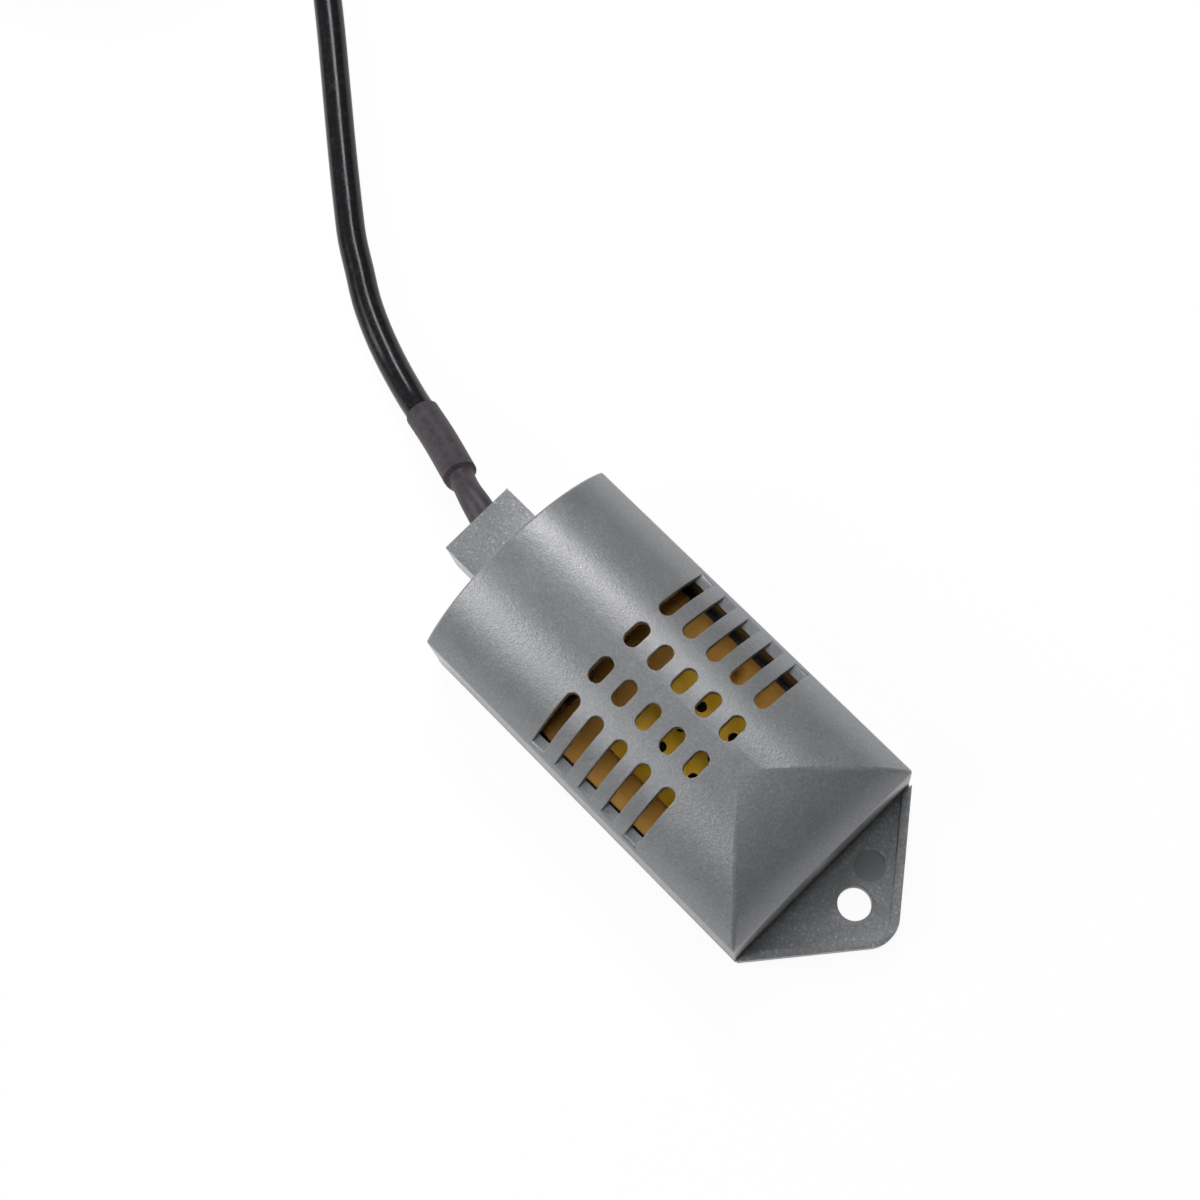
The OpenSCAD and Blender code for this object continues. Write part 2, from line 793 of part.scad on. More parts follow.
// A rectangle with round corners, from its middle
function round_rectangle(w, h, r) =
    [for (corner = [0 : 3], a = [0 : 30 : 90])
        let (cx = (corner == 0 || corner == 3 ? 1 : -1) * (w / 2 - r),
             cy = (corner < 2 ? 1 : -1) * (h / 2 - r))
        [cx + r * cos(a + 90 * corner), cy + r * sin(a + 90 * corner)]];

module coil_tie() {
    bundle_w = coil_out_r - coil_in_r + cable_d;
    bundle_h = turn_pitch * (coil_layers - 1) + cable_d;
    in_w = bundle_w + tie_clear;
    in_h = bundle_h + tie_clear;
    color(black)
        translate([coil_at[0], coil_at[1], 0])
            rotate([0, 0, tie_angle])
                translate([coil_in_r - cable_d / 2 + bundle_w / 2 - turn_pitch / 4, tie_w / 2,
                           tie_t + in_h / 2])
                    rotate([90, 0, 0])
                        linear_extrude(tie_w)
                            difference() {
                                polygon(round_rectangle(in_w + 2 * tie_t, in_h + 2 * tie_t,
                                                        tie_corner));
                                polygon(round_rectangle(in_w, in_h, tie_corner - tie_t));
                            }
}

// Plug

// Along the plug's axis, from the cable's end towards the tip
module along_plug(z)
    translate([plug_at[0], plug_at[1] - z, plug_at[2]])
        rotate([90, 0, 0])
            children();

module plug_boot()
    color(black)
        along_plug(0)
            cylinder(d1 = boot_end_d, d2 = boot_d, h = boot_l, $fn = round_fn);

module plug_grip() {
    edge = 0.8;
    groove = 0.4;
    grooves = 4;
    r = grip_d / 2;
    step = (grip_l - 4 * edge) / (2 * grooves + 1);
    color(black)
        along_plug(grip_z)
            rotate_extrude($fn = round_fn)
                polygon(concat(
                    [[0, 0], [r - edge, 0], [r, edge]],
                    [for (k = [0 : grooves - 1])
                        let (z = 2 * edge + step * (2 * k + 1))
                        each [[r, z], [r - groove, z + groove], [r - groove, z + step - groove],
                              [r, z + step]]],
                    [[r, grip_l - edge], [r - edge, grip_l], [0, grip_l]]));
}

module plug_sleeve_contact()
    color(metal) {
        along_plug(collar_z)
            cylinder(d = collar_d, h = collar_l, $fn = round_fn);
        along_plug(collar_z + collar_l / 2)
            cylinder(d = jack_d, h = sleeve_contact_l + collar_l / 2, $fn = round_fn);
    }

module plug_insulators()
    color(black)
        for (z = [ring_z - insulator_l, tip_z - insulator_l])
            along_plug(z)
                cylinder(d = jack_d, h = insulator_l, $fn = round_fn);

module plug_ring_contact()
    color(metal)
        along_plug(ring_z)
            cylinder(d = jack_d, h = ring_contact_l, $fn = round_fn);

module plug_tip_contact() {
    r = jack_d / 2;
    neck_r = jack_d * 0.33;
    color(metal)
        along_plug(tip_z)
            rotate_extrude($fn = round_fn)
                polygon([[0, 0], [r, 0], [r, tip_contact_l * 0.15],
                         [neck_r, tip_contact_l * 0.35], [r * 0.92, tip_contact_l * 0.6],
                         [r * 0.35, tip_contact_l * 0.96], [0, tip_contact_l]]);
}

front_cover();
back_housing();
circuit_board();
board_screws();
humidity_sensor_case();
humidity_element();
sensor_pins();
thermistor_bead();
thermistor_leads();
signal_chip();
chip_leads();
chip_resistors();
chip_capacitors();
electrolytic_can();
electrolytic_base();
solder_joints();
power_wire();
ground_wire();
signal_wire();
inner_cable_tie();
heat_shrink_sleeve();
cable();
cable_coil();
cable_tail();
coil_tie();
plug_boot();
plug_grip();
plug_sleeve_contact();
plug_insulators();
plug_ring_contact();
plug_tip_contact();
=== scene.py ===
import json
import logging
import math
from dataclasses import dataclass, field
from enum import Enum
from typing import Callable, Iterable, Sequence

import bmesh
import bpy
import numpy as np
from mathutils import Matrix, Vector

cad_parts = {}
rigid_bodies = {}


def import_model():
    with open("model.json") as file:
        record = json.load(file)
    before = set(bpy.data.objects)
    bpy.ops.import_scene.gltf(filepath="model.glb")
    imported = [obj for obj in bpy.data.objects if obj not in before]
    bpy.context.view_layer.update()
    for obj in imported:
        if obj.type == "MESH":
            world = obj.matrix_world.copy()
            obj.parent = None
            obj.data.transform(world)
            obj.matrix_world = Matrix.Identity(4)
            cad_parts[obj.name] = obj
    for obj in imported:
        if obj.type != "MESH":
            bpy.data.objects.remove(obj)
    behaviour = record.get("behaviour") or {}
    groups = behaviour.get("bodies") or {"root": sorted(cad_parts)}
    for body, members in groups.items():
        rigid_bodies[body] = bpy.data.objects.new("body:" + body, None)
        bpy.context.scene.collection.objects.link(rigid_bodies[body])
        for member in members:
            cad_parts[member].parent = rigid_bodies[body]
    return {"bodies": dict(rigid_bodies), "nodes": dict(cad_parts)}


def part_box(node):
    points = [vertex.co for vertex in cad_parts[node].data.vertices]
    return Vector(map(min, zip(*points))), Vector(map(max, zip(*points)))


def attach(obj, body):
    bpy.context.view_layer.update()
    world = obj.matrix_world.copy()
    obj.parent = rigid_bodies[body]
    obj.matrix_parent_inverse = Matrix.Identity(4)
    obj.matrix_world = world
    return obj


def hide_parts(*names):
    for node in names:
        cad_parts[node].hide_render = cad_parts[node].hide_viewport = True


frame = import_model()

log = logging.getLogger("humidity_probe")

MM = 0.001
ON_SURFACE = 0.02 * MM
PROBE = "probe"
COVER = "cover"
Point = tuple[float, float, float]
Rgb = tuple[float, float, float]
Piece = bpy.types.Object
Socket = bpy.types.NodeSocket
BMesh = bmesh.types.BMesh
Line = Sequence[Vector]


def mm(*values: float) -> Vector:
    """Returns a point or size given in millimetres as a vector in metres."""
    return Vector(values) * MM


# Materials


class Grain(Enum):
    """How coarse the mould's spark-eroded texture is: size of a grain in metres, and its depth."""

    FINE = (0.00026, 0.000030)
    COARSE = (0.00030, 0.000042)
    SMOOTH = (0.00045, 0.000003)


class NodeGraph:
    """A node tree that is filled by plain calls."""

    def __init__(self, tree: bpy.types.NodeTree) -> None:
        """Takes a tree and empties it."""
        self.tree = tree
        self.tree.nodes.clear()

    def fill(self, port: Socket, value: object) -> None:
        """Gives a socket a link or a value; a colour gets its alpha."""
        if isinstance(value, Socket):
            self.tree.links.new(value, port)
        elif port.type == "RGBA":
            port.default_value = (*value, 1)
        else:
            port.default_value = value

    def node(self, kind: str, settings: dict[str, object] | None = None, **inputs: object) -> bpy.types.Node:
        """Adds a node and fills its inputs.

        Args:
            kind: Blender's name for the node.
            settings: The node's own settings.
            **inputs: Values or links, by name with an underscore for a space or by place as _0.

        Returns:
            The node.
        """
        made = self.tree.nodes.new(kind)
        for name, value in (settings or {}).items():
            setattr(made, name, value)
        for name, value in inputs.items():
            if value is not None:
                self.fill(made.inputs[int(name[1:]) if name[0] == "_" else name.replace("_", " ")], value)
        return made


class Shader(NodeGraph):
    """One procedural material on Object coordinates, around a Principled shader."""

    def __init__(self, name: str) -> None:
        """Starts the material of a name."""
        self.material = bpy.data.materials.new(name)
        self.material.use_nodes = True
        super().__init__(self.material.node_tree)
        self.surface = self.node("ShaderNodeBsdfPrincipled")
        self.node("ShaderNodeOutputMaterial", Surface=self.surface.outputs["BSDF"])
        self.place = self.node("ShaderNodeTexCoord").outputs["Object"]

    def done(self, **inputs: object) -> bpy.types.Material:
        """Fills the Principled shader's sockets with values or links, and returns the material."""
        for name, value in inputs.items():
            self.fill(self.surface.inputs[name.replace("_", " ")], value)
        return self.material

    def noise(
        self, size: float, detail: float = 3, roughness: float = 0.55, at: Socket | None = None
    ) -> Socket:
        """Returns a noise value.

        Args:
            size: Size of one blotch in metres.
            detail: Number of finer layers.
            roughness: Strength of the finer layers.
            at: Coordinates, if not plain Object coordinates.
        """
        made = self.node(
            "ShaderNodeTexNoise", Vector=at or self.place, Scale=1 / size, Detail=detail, Roughness=roughness
        )
        return made.outputs["Fac"]

    def cells(self, size: float) -> Socket:
        """Returns a value of its own for each cell of a size in metres."""
        made = self.node("ShaderNodeTexVoronoi", Vector=self.place, Scale=1 / size)
        return self.node("ShaderNodeSeparateColor", Color=made.outputs["Color"]).outputs["Red"]

    def spread(self, value: Socket, source: tuple, target: tuple = (0, 1)) -> Socket:
        """Returns a value carried over from one range to another, and held to it."""
        made = self.node(
            "ShaderNodeMapRange",
            Value=value, From_Min=source[0], From_Max=source[1], To_Min=target[0], To_Max=target[1],
        )
        return made.outputs["Result"]

    def blend(self, share: Socket, first: Rgb | Socket, second: Rgb | Socket) -> Socket:
        """Returns a colour between two, by a varying share."""
        return self.node("ShaderNodeMix", {"data_type": "RGBA"}, _0=share, _6=first, _7=second).outputs[2]

    def bump(self, height: Socket, depth: float, under: Socket | None = None) -> Socket:
        """Returns a normal that a height field dents.

        Args:
            height: The field, from 0 to 1.
            depth: Height of 1 in metres.
            under: Another bump's normal to add this one to.
        """
        made = self.node("ShaderNodeBump", Strength=1, Distance=depth, Height=height, Normal=under)
        return made.outputs["Normal"]

    def inside_spot(self, x: float, y: float, radius: float) -> Socket:
        """Returns 1 inside an upright cylinder of a centre and radius in metres, and 0 outside."""
        edge = 0.08 * MM
        level = self.node("ShaderNodeVectorMath", {"operation": "MULTIPLY"}, _0=self.place, _1=(1, 1, 0))
        away = self.node("ShaderNodeVectorMath", {"operation": "DISTANCE"}, _0=level.outputs[0], _1=(x, y, 0))
        return self.spread(away.outputs["Value"], (radius, radius - edge))


def scaled(colour: Rgb, factor: float) -> Rgb:
    """Returns a colour made lighter or darker by a factor."""
    return tuple(min(1, c * factor) for c in colour)


@dataclass(frozen=True)
class MouldedPlastic:
    """A grained plastic with light and dark flecks, bright specks painted into the colour as glints, faint
    mottling and a slow change of gloss.
    """

    name: str
    colour: Rgb
    grain: Grain = Grain.FINE
    roughness: float = 0.42
    mottle: float = 0.06
    shine: float = 0.5
    # Strength of the light and dark grain flecks and of the painted glints.
    speckle_and_glint: float = 0.0
    coat: float = 0.0
    smooth_spot: tuple[float, float, float] | None = None

    def material(self) -> bpy.types.Material:
        """Returns the material, whose grain stops at the smooth spot (x, y and radius in metres)."""
        size, depth = self.grain.value
        colour, speckle_and_glint = self.colour, self.speckle_and_glint
        dark, light, spark = 1 - 0.7 * speckle_and_glint, 1 + 2 * speckle_and_glint, 1 + 2.5 * speckle_and_glint
        shader = Shader(self.name)
        blotches = shader.noise(0.004, detail=4)
        share = shader.spread(blotches, (0.35, 0.65))
        mottled = shader.blend(share, scaled(colour, 1 - self.mottle), scaled(colour, 1 + self.mottle))
        flecks = shader.spread(shader.noise(size * 1.1, detail=1.5), (0.3, 0.7))
        flecked = shader.blend(flecks, scaled(colour, dark), scaled(colour, light))
        skin = shader.blend(shader.spread(blotches, (0, 1), (0.35, 0.65)), mottled, flecked)
        # Painted glints: the brightest grain cells are lightened in the colour by spark, standing in for the
        # grain's sparkle in highlights.
        painted_glints = shader.spread(shader.cells(size * 0.8), (0.86, 1.0), (0, min(1.0, 2.4 * speckle_and_glint)))
        skin = shader.blend(painted_glints, skin, scaled(colour, spark))
        waves = shader.bump(shader.noise(size * 3, detail=1), depth * 0.6)
        grained = shader.bump(shader.noise(size, detail=2, roughness=0.6), depth, waves)
        if self.smooth_spot:
            inside = shader.inside_spot(*self.smooth_spot)
            plain_normal = shader.node("ShaderNodeNewGeometry").outputs["Normal"]
            skin = shader.blend(inside, skin, scaled(colour, 0.8))
            grained = shader.blend(inside, grained, plain_normal)
        gloss = (self.roughness - 0.03, self.roughness + 0.03)
        return shader.done(
            Base_Color=skin, Roughness=shader.spread(blotches, (0.3, 0.7), gloss), Normal=grained, IOR=1.5,
            Specular_IOR_Level=self.shine, Coat_Weight=self.coat, Coat_Roughness=self.roughness,
        )


@dataclass(frozen=True)
class BoardResin:
    """Amber board with a woven base that shows through, and warmer and greyer patches."""

    name: str = "board_resin"
    colour: Rgb = (0.90, 0.49, 0.11)
    shade: Rgb = (0.78, 0.41, 0.09)
    weave: float = 0.0007
    weave_depth: float = 0.0000004

    def material(self) -> bpy.types.Material:
        """Returns the material."""
        shader = Shader(self.name)
        patches = shader.spread(shader.noise(0.006), (0.4, 0.62))
        threads = shader.node("ShaderNodeTexChecker", Vector=shader.place, Scale=1 / self.weave)
        cloth = shader.bump(threads.outputs["Fac"], self.weave_depth)
        return shader.done(
            Base_Color=shader.blend(patches, self.colour, self.shade), Roughness=0.48, IOR=1.5,
            Normal=shader.bump(shader.noise(0.0002), self.weave_depth, cloth),
        )


@dataclass(frozen=True)
class AmberMoulding:
    """Glossy olive-amber plastic with slightly cloudy depth."""

    name: str = "sensor_amber"
    colour: Rgb = (0.72, 0.42, 0.010)
    shade: Rgb = (0.58, 0.32, 0.008)

    def material(self) -> bpy.types.Material:
        """Returns the material."""
        shader = Shader(self.name)
        clouds = shader.spread(shader.noise(0.003, detail=4), (0.35, 0.65))
        return shader.done(
            Base_Color=shader.blend(clouds, self.colour, self.shade), Roughness=0.3, IOR=1.52,
            Coat_Weight=0.5, Coat_Roughness=0.12,
            Normal=shader.bump(shader.noise(0.0006, detail=2), 0.000006),
        )


@dataclass(frozen=True)
class Metal:
    """A metal whose gloss wanders, with fine marks."""

    name: str
    colour: Rgb
    roughness: float = 0.25
    marks: float = 0.00008
    depth: float = 0.000002

    def material(self) -> bpy.types.Material:
        """Returns the material."""
        shader = Shader(self.name)
        wear = shader.noise(0.0015, detail=4)
        gloss = shader.spread(wear, (0.3, 0.7), (self.roughness * 0.75, self.roughness * 1.3))
        worn = shader.blend(shader.spread(wear, (0.4, 0.7)), self.colour, scaled(self.colour, 0.82))
        marks = shader.bump(shader.noise(self.marks, detail=2), self.depth)
        return shader.done(Base_Color=worn, Metallic=1.0, Roughness=gloss, Normal=marks)


@dataclass(frozen=True)
class Jacket:
    """Flexible insulation: a glossy skin with faint waves and dust."""

    name: str
    colour: Rgb
    roughness: float = 0.22
    wave: float = 0.0025
    depth: float = 0.00002
    shine: float = 0.5

    def material(self) -> bpy.types.Material:
        """Returns the material."""
        shader = Shader(self.name)
        dust = shader.noise(0.0009, detail=5, roughness=0.7)
        dusted = tuple(c + 0.012 for c in self.colour)
        dusty = shader.blend(shader.spread(dust, (0.5, 0.75)), self.colour, dusted)
        gloss = shader.spread(dust, (0.35, 0.7), (self.roughness * 0.85, self.roughness * 1.35))
        waves = shader.bump(shader.noise(self.wave, detail=1), self.depth)
        return shader.done(
            Base_Color=dusty, Roughness=gloss, IOR=1.5, Specular_IOR_Level=self.shine,
            Normal=shader.bump(shader.noise(0.0003, detail=2), self.depth * 0.12, waves),
        )


@dataclass(frozen=True)
class ShrunkSleeve:
    """Heat-shrunk tubing: matte black with creases drawn out along it."""

    name: str = "shrunk_sleeve"
    colour: Rgb = (0.036, 0.030, 0.033)
    shine: float = 0.3
    lie: float = math.radians(15)

    def material(self) -> bpy.types.Material:
        """Returns the material."""
        shader = Shader(self.name)
        along = shader.node(
            "ShaderNodeMapping", Vector=shader.place, Scale=(0.25, 1.0, 1.0), Rotation=(0, 0, self.lie)
        )
        folds = shader.bump(shader.noise(0.0006, at=along.outputs["Vector"]), 0.00003)
        scuffs = shader.noise(0.0012, detail=5, roughness=0.7)
        scuffed = shader.blend(shader.spread(scuffs, (0.45, 0.75)), self.colour, scaled(self.colour, 1.7))
        return shader.done(
            Base_Color=scuffed, IOR=1.5, Specular_IOR_Level=self.shine,
            Roughness=shader.spread(scuffs, (0.3, 0.7), (0.42, 0.55)),
            Normal=shader.bump(shader.noise(0.00025, detail=2), 0.000012, folds),
        )


CASING_GREY = (0.130, 0.137, 0.139)
EJECTOR_SPOT = (0.028, 0.0046, 0.0020)
FINISHES: dict[str, object] = {
    "cover": MouldedPlastic("cover_grey", CASING_GREY, roughness=0.35, shine=1.0, coat=0.5, speckle_and_glint=0.26),
    "housing": MouldedPlastic(
        "housing_grey", CASING_GREY, Grain.COARSE, roughness=0.36, mottle=0.1, shine=1.0, coat=0.5,
        speckle_and_glint=0.42, smooth_spot=EJECTOR_SPOT,
    ),
    "board": BoardResin(),
    "amber": AmberMoulding(),
    "film": MouldedPlastic("sensing_film", (0.02, 0.024, 0.018), Grain.SMOOTH, roughness=0.6),
    "epoxy": MouldedPlastic("black_epoxy", (0.018, 0.018, 0.02), roughness=0.5),
    "tan": MouldedPlastic("tan_ceramic", (0.38, 0.23, 0.11), Grain.SMOOTH, roughness=0.5),
    "nylon": MouldedPlastic("natural_nylon", (0.72, 0.71, 0.64), Grain.SMOOTH, roughness=0.35),
    "tie": MouldedPlastic("tie_black", (0.02, 0.02, 0.021), roughness=0.4),
    "plug": MouldedPlastic("plug_black", (0.016, 0.016, 0.017), roughness=0.36),
    "rings": MouldedPlastic("insulator_black", (0.014, 0.014, 0.015), Grain.SMOOTH, roughness=0.3),
    "print": MouldedPlastic("white_print", (0.75, 0.74, 0.68), Grain.SMOOTH, roughness=0.6),
    "tin": Metal("bright_tin", (0.74, 0.74, 0.75), roughness=0.28),
    "steel": Metal("zinc_steel", (0.6, 0.61, 0.63), roughness=0.32),
    "can": Metal("can_aluminium", (0.8, 0.8, 0.81), roughness=0.3),
    "nickel": Metal("jack_nickel", (0.78, 0.75, 0.69), roughness=0.14),
    "gold": Metal("pad_gold", (0.78, 0.55, 0.22), roughness=0.3),
    "red": Jacket("wire_red", (0.5, 0.015, 0.012)),
    "black": Jacket("wire_black", (0.012, 0.012, 0.013)),
    "yellow": Jacket("wire_yellow", (0.7, 0.45, 0.02)),
    "cable": Jacket("cable_black", (0.010, 0.010, 0.011), roughness=0.2, shine=0.22),
    "sleeve": ShrunkSleeve(),
}
made_finishes: dict[str, bpy.types.Material] = {}


def finish_of(name: str) -> bpy.types.Material:
    """Returns the material of a finish, made on first use."""
    if name not in made_finishes:
        made_finishes[name] = FINISHES[name].material()
    return made_finishes[name]


# Meshes


def new_object(name: str, data: bpy.types.ID) -> Piece:
    """Links a mesh, lamp or camera to the scene as an object at the origin."""
    made = bpy.data.objects.new(name, data)
    bpy.context.scene.collection.objects.link(made)
    return made


def frozen(source: Piece, name: str) -> Piece:
    """Turns an object with its modifiers into a plain mesh object of a name, and removes the first."""
    graph = bpy.context.evaluated_depsgraph_get()
    mesh = bpy.data.meshes.new_from_object(source.evaluated_get(graph))
    mesh.name = name
    bpy.data.objects.remove(source)
    return new_object(name, mesh)


def from_bmesh(shape: BMesh, name: str, smooth: bool = True) -> Piece:
    """Makes an object of a bmesh and frees it."""
    mesh = bpy.data.meshes.new(name)
    shape.to_mesh(mesh)
    shape.free()
    for face in mesh.polygons:
        face.use_smooth = smooth
    return new_object(name, mesh)


def merged_bmesh(node: str) -> BMesh:
    """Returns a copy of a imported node's mesh with its loose triangles joined."""
    shape = bmesh.new()
    shape.from_mesh(frame["nodes"][node].data)
    bmesh.ops.remove_doubles(shape, verts=shape.verts, dist=1e-7)
    return shape


def bevelled(piece: Piece, width: float, segments: int) -> bpy.types.BevelModifier:
    """Rounds a piece's edges by a modifier, which it returns."""
    bevel = piece.modifiers.new("rounding", "BEVEL")
    bevel.width, bevel.segments, bevel.harden_normals = width, segments, True
    return bevel


@dataclass(frozen=True)
class RoundSurface:
    """A round bar's surface along X or Y, whose exact normals a faceted copy is given.

    Its axis is 0 for X and 1 for Y, centre is where it crosses the other two axes, radius its
    radius, and inward says that the surface is a hollow's.
    """

    axis: int
    centre: tuple[float, float]
    radius: float
    inward: bool = False

    def normals(self, points: np.ndarray) -> tuple[np.ndarray, np.ndarray]:
        """Returns each point's exact normal, and how far it lies off the surface."""
        others = [k for k in range(3) if k != self.axis]
        flat = points[:, others] - np.array(self.centre)
        reach = np.linalg.norm(flat, axis=1)
        normals = np.zeros_like(points)
        normals[:, others] = flat / np.maximum(reach, 1e-9)[:, None]
        return (-normals if self.inward else normals), np.abs(reach - self.radius)


def give_exact_normals(mesh: bpy.types.Mesh, surfaces: Iterable[RoundSurface]) -> None:
    """Gives the corners of a finished mesh that lie on round surfaces their exact normals."""
    lean = math.cos(math.radians(9))
    points = np.array([v.co for v in mesh.vertices])
    vertex_of = np.array([c.vertex_index for c in mesh.loops])
    normals = np.array([n.vector for n in mesh.corner_normals])
    face_normals = np.repeat(
        np.array([f.normal for f in mesh.polygons]), [f.loop_total for f in mesh.polygons], axis=0
    )
    for surface in surfaces:
        exact, off = surface.normals(points)
        mask = (off[vertex_of] < ON_SURFACE) & ((exact[vertex_of] * face_normals).sum(1) > lean)
        normals[mask] = exact[vertex_of][mask]
    mesh.normals_split_custom_set([tuple(n) for n in normals])


@dataclass(frozen=True)
class Rounding:
    """The small radius along a moulded piece's edges that turn by more than an angle in degrees.

    Where vents isn't 0, it is the factor for the edges that lead down into the vents. They are those
    that lie nearer to the middle than vents_half_width and between the two ends vents_x, and that
    either face up or run down by more than vents_drop.
    """

    radius: float
    segments: int = 3
    edges_over: float = 28
    vents: float = 0.0
    vents_half_width: float = 14.6 * MM
    vents_x: tuple[float, float] = (-25 * MM, 9.5 * MM)
    vents_drop: float = 3 * MM
    faces_up: float = 0.3

    def leads_into_vent(self, edge: bmesh.types.BMEdge) -> bool:
        """Returns whether an edge lies round a vent's opening."""
        a, b = edge.verts[0].co, edge.verts[1].co
        outer = max(f.normal.z for f in edge.link_faces) > self.faces_up or abs(a.z - b.z) > self.vents_drop
        return outer and abs(a.y + b.y) / 2 < self.vents_half_width and (
            self.vents_x[0] < (a.x + b.x) / 2 < self.vents_x[1]
        )

    def weigh(self, shape: BMesh, surfaces: Sequence[RoundSurface]) -> None:
        """Gives each edge its share of the radius; the fold between the first two surfaces gets all of it."""
        weights = shape.edges.layers.float.new("bevel_weight_edge")
        points = np.array([v.co for v in shape.verts])
        in_fold = np.all([surface.normals(points)[1] < ON_SURFACE for surface in surfaces[:2]], axis=0)
        for edge in shape.edges:
            if len(edge.link_faces) != 2 or math.degrees(edge.calc_face_angle()) <= self.edges_over:
                continue
            fold = all(in_fold[v.index] for v in edge.verts)
            edge[weights] = self.vents if not fold and self.leads_into_vent(edge) else 1.0


def rounded(
    node: str,
    name: str,
    rounding: Rounding,
    finish: str,
    slot: str,
    body: str = PROBE,
    surfaces: Sequence[RoundSurface] = (),
) -> Piece:
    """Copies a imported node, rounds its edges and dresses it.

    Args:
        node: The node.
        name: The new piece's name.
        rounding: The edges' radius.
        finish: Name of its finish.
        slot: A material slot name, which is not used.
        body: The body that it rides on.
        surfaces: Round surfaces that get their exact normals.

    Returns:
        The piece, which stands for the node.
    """
    shape = merged_bmesh(node)
    bmesh.ops.dissolve_limit(shape, angle_limit=math.radians(0.5), verts=shape.verts, edges=shape.edges)
    if rounding.vents:
        rounding.weigh(shape, surfaces)
    rough = from_bmesh(shape, name + "_rough")
    bevel = bevelled(rough, rounding.radius, rounding.segments)
    bevel.limit_method = "WEIGHT" if rounding.vents else "ANGLE"
    bevel.angle_limit = math.radians(rounding.edges_over)
    bevel.use_clamp_overlap = not rounding.vents
    done = frozen(rough, name)
    if surfaces:
        give_exact_normals(done.data, surfaces)
    return dress(done, finish, [node], body)


def dress(piece: Piece, finish: str, replaces: Sequence[str] = (), body: str = PROBE) -> Piece:
    """Gives a piece its finish and its place in the frame, and reports it.

    Args:
        piece: The piece.
        finish: Name of its finish.
        replaces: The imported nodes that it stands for.
        body: The body that it rides on.

    Returns:
        The piece.
    """
    if not any(piece.data.materials):
        piece.data.materials.clear()
        piece.data.materials.append(finish_of(finish))
    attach(piece, body)
    if replaces:
        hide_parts(*replaces)
    log.info("%s: %s, %d faces, on %s", piece.name, finish, len(piece.data.polygons), body)
    return piece


def dress_node(node: str, finish: str) -> None:
    """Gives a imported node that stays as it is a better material."""
    for slot in frame["nodes"][node].material_slots:
        slot.material = finish_of(finish)
    log.info("%s kept, %s", node, finish)


def corners(node: str) -> tuple[Vector, Vector, Vector]:
    """Returns a node's lowest corner, highest corner and middle."""
    low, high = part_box(node)
    return low, high, (low + high) / 2


def length_of(route: Line) -> float:
    """Returns a route's length."""
    return sum((b - a).length for a, b in zip(route, route[1:]))


def smooth_step(t: float) -> float:
    """Returns a smooth step from 0 to 1."""
    t = min(1.0, max(0.0, t))
    return t * t * (3 - 2 * t)


def smooth_route(points: Line, spacing: float) -> list[Vector]:
    """Lays one smooth curve through points.

    Args:
        points: The points, in order.
        spacing: Rough distance between the curve's own points.

    Returns:
        The curve's points, which include the given ones.
    """
    ends = [2 * points[0] - points[1], *points, 2 * points[-1] - points[-2]]
    made: list[Vector] = []
    for a, b, c, d in zip(ends, ends[1:], ends[2:], ends[3:]):
        t1 = (b - a).length ** 0.5
        t2 = t1 + (c - b).length ** 0.5
        t3 = t2 + (d - c).length ** 0.5
        steps = max(1, round((c - b).length / spacing))
        for step in range(steps):
            t = t1 + (t2 - t1) * step / steps
            ab = a.lerp(b, t / t1)
            bc = b.lerp(c, (t - t1) / (t2 - t1))
            cd = c.lerp(d, (t - t2) / (t3 - t2))
            abc = ab.lerp(bc, t / t2)
            bcd = bc.lerp(cd, (t - t1) / (t3 - t1))
            made.append(abc.lerp(bcd, (t - t1) / (t2 - t1)))
    return [*made, points[-1].copy()]


def join_rings(shape: BMesh, rings: Sequence[Sequence[bmesh.types.BMVert]], capped: bool = False) -> None:
    """Joins rings of corners by faces and may cap both ends; a ring may be one point over and over."""
    for low, high in zip(rings, rings[1:]):
        for k in range(len(low)):
            n = (k + 1) % len(low)
            face = list(dict.fromkeys((low[k], low[n], high[n], high[k])))
            if len(face) > 2:
                shape.faces.new(face)
    if capped:
        shape.faces.new(reversed(rings[0]))
        shape.faces.new(rings[-1])


def swept_tube(
    route: Line,
    radius: Callable[[float, float], float],
    sides: int,
    name: str,
    closed_ends: bool = True,
) -> Piece:
    """Sweeps a round section along a route without twist.

    Args:
        route: Points of the centreline.
        radius: Gives the radius at a distance along the route and an angle round it.
        sides: Corners of the section.
        name: Name of the object.
        closed_ends: Whether both ends get a cap.

    Returns:
        The tube.
    """
    shape = bmesh.new()
    along = (route[1] - route[0]).normalized()
    side = along.cross(Vector((0, 0, 1))).normalized()
    distance, rings = 0.0, []
    angles = [2 * math.pi * k / sides for k in range(sides)]
    for i, point in enumerate(route):
        before, after = route[max(i - 1, 0)], route[min(i + 1, len(route) - 1)]
        turned = (after - before).normalized()
        side = (along.rotation_difference(turned) @ side).normalized()
        along = turned
        up = along.cross(side)
        distance += (point - before).length
        outs = [(a, math.cos(a) * side + math.sin(a) * up) for a in angles]
        rings.append([shape.verts.new(point + radius(distance, a) * out) for a, out in outs])
    join_rings(shape, rings, closed_ends)
    bmesh.ops.recalc_face_normals(shape, faces=shape.faces)
    return from_bmesh(shape, name)


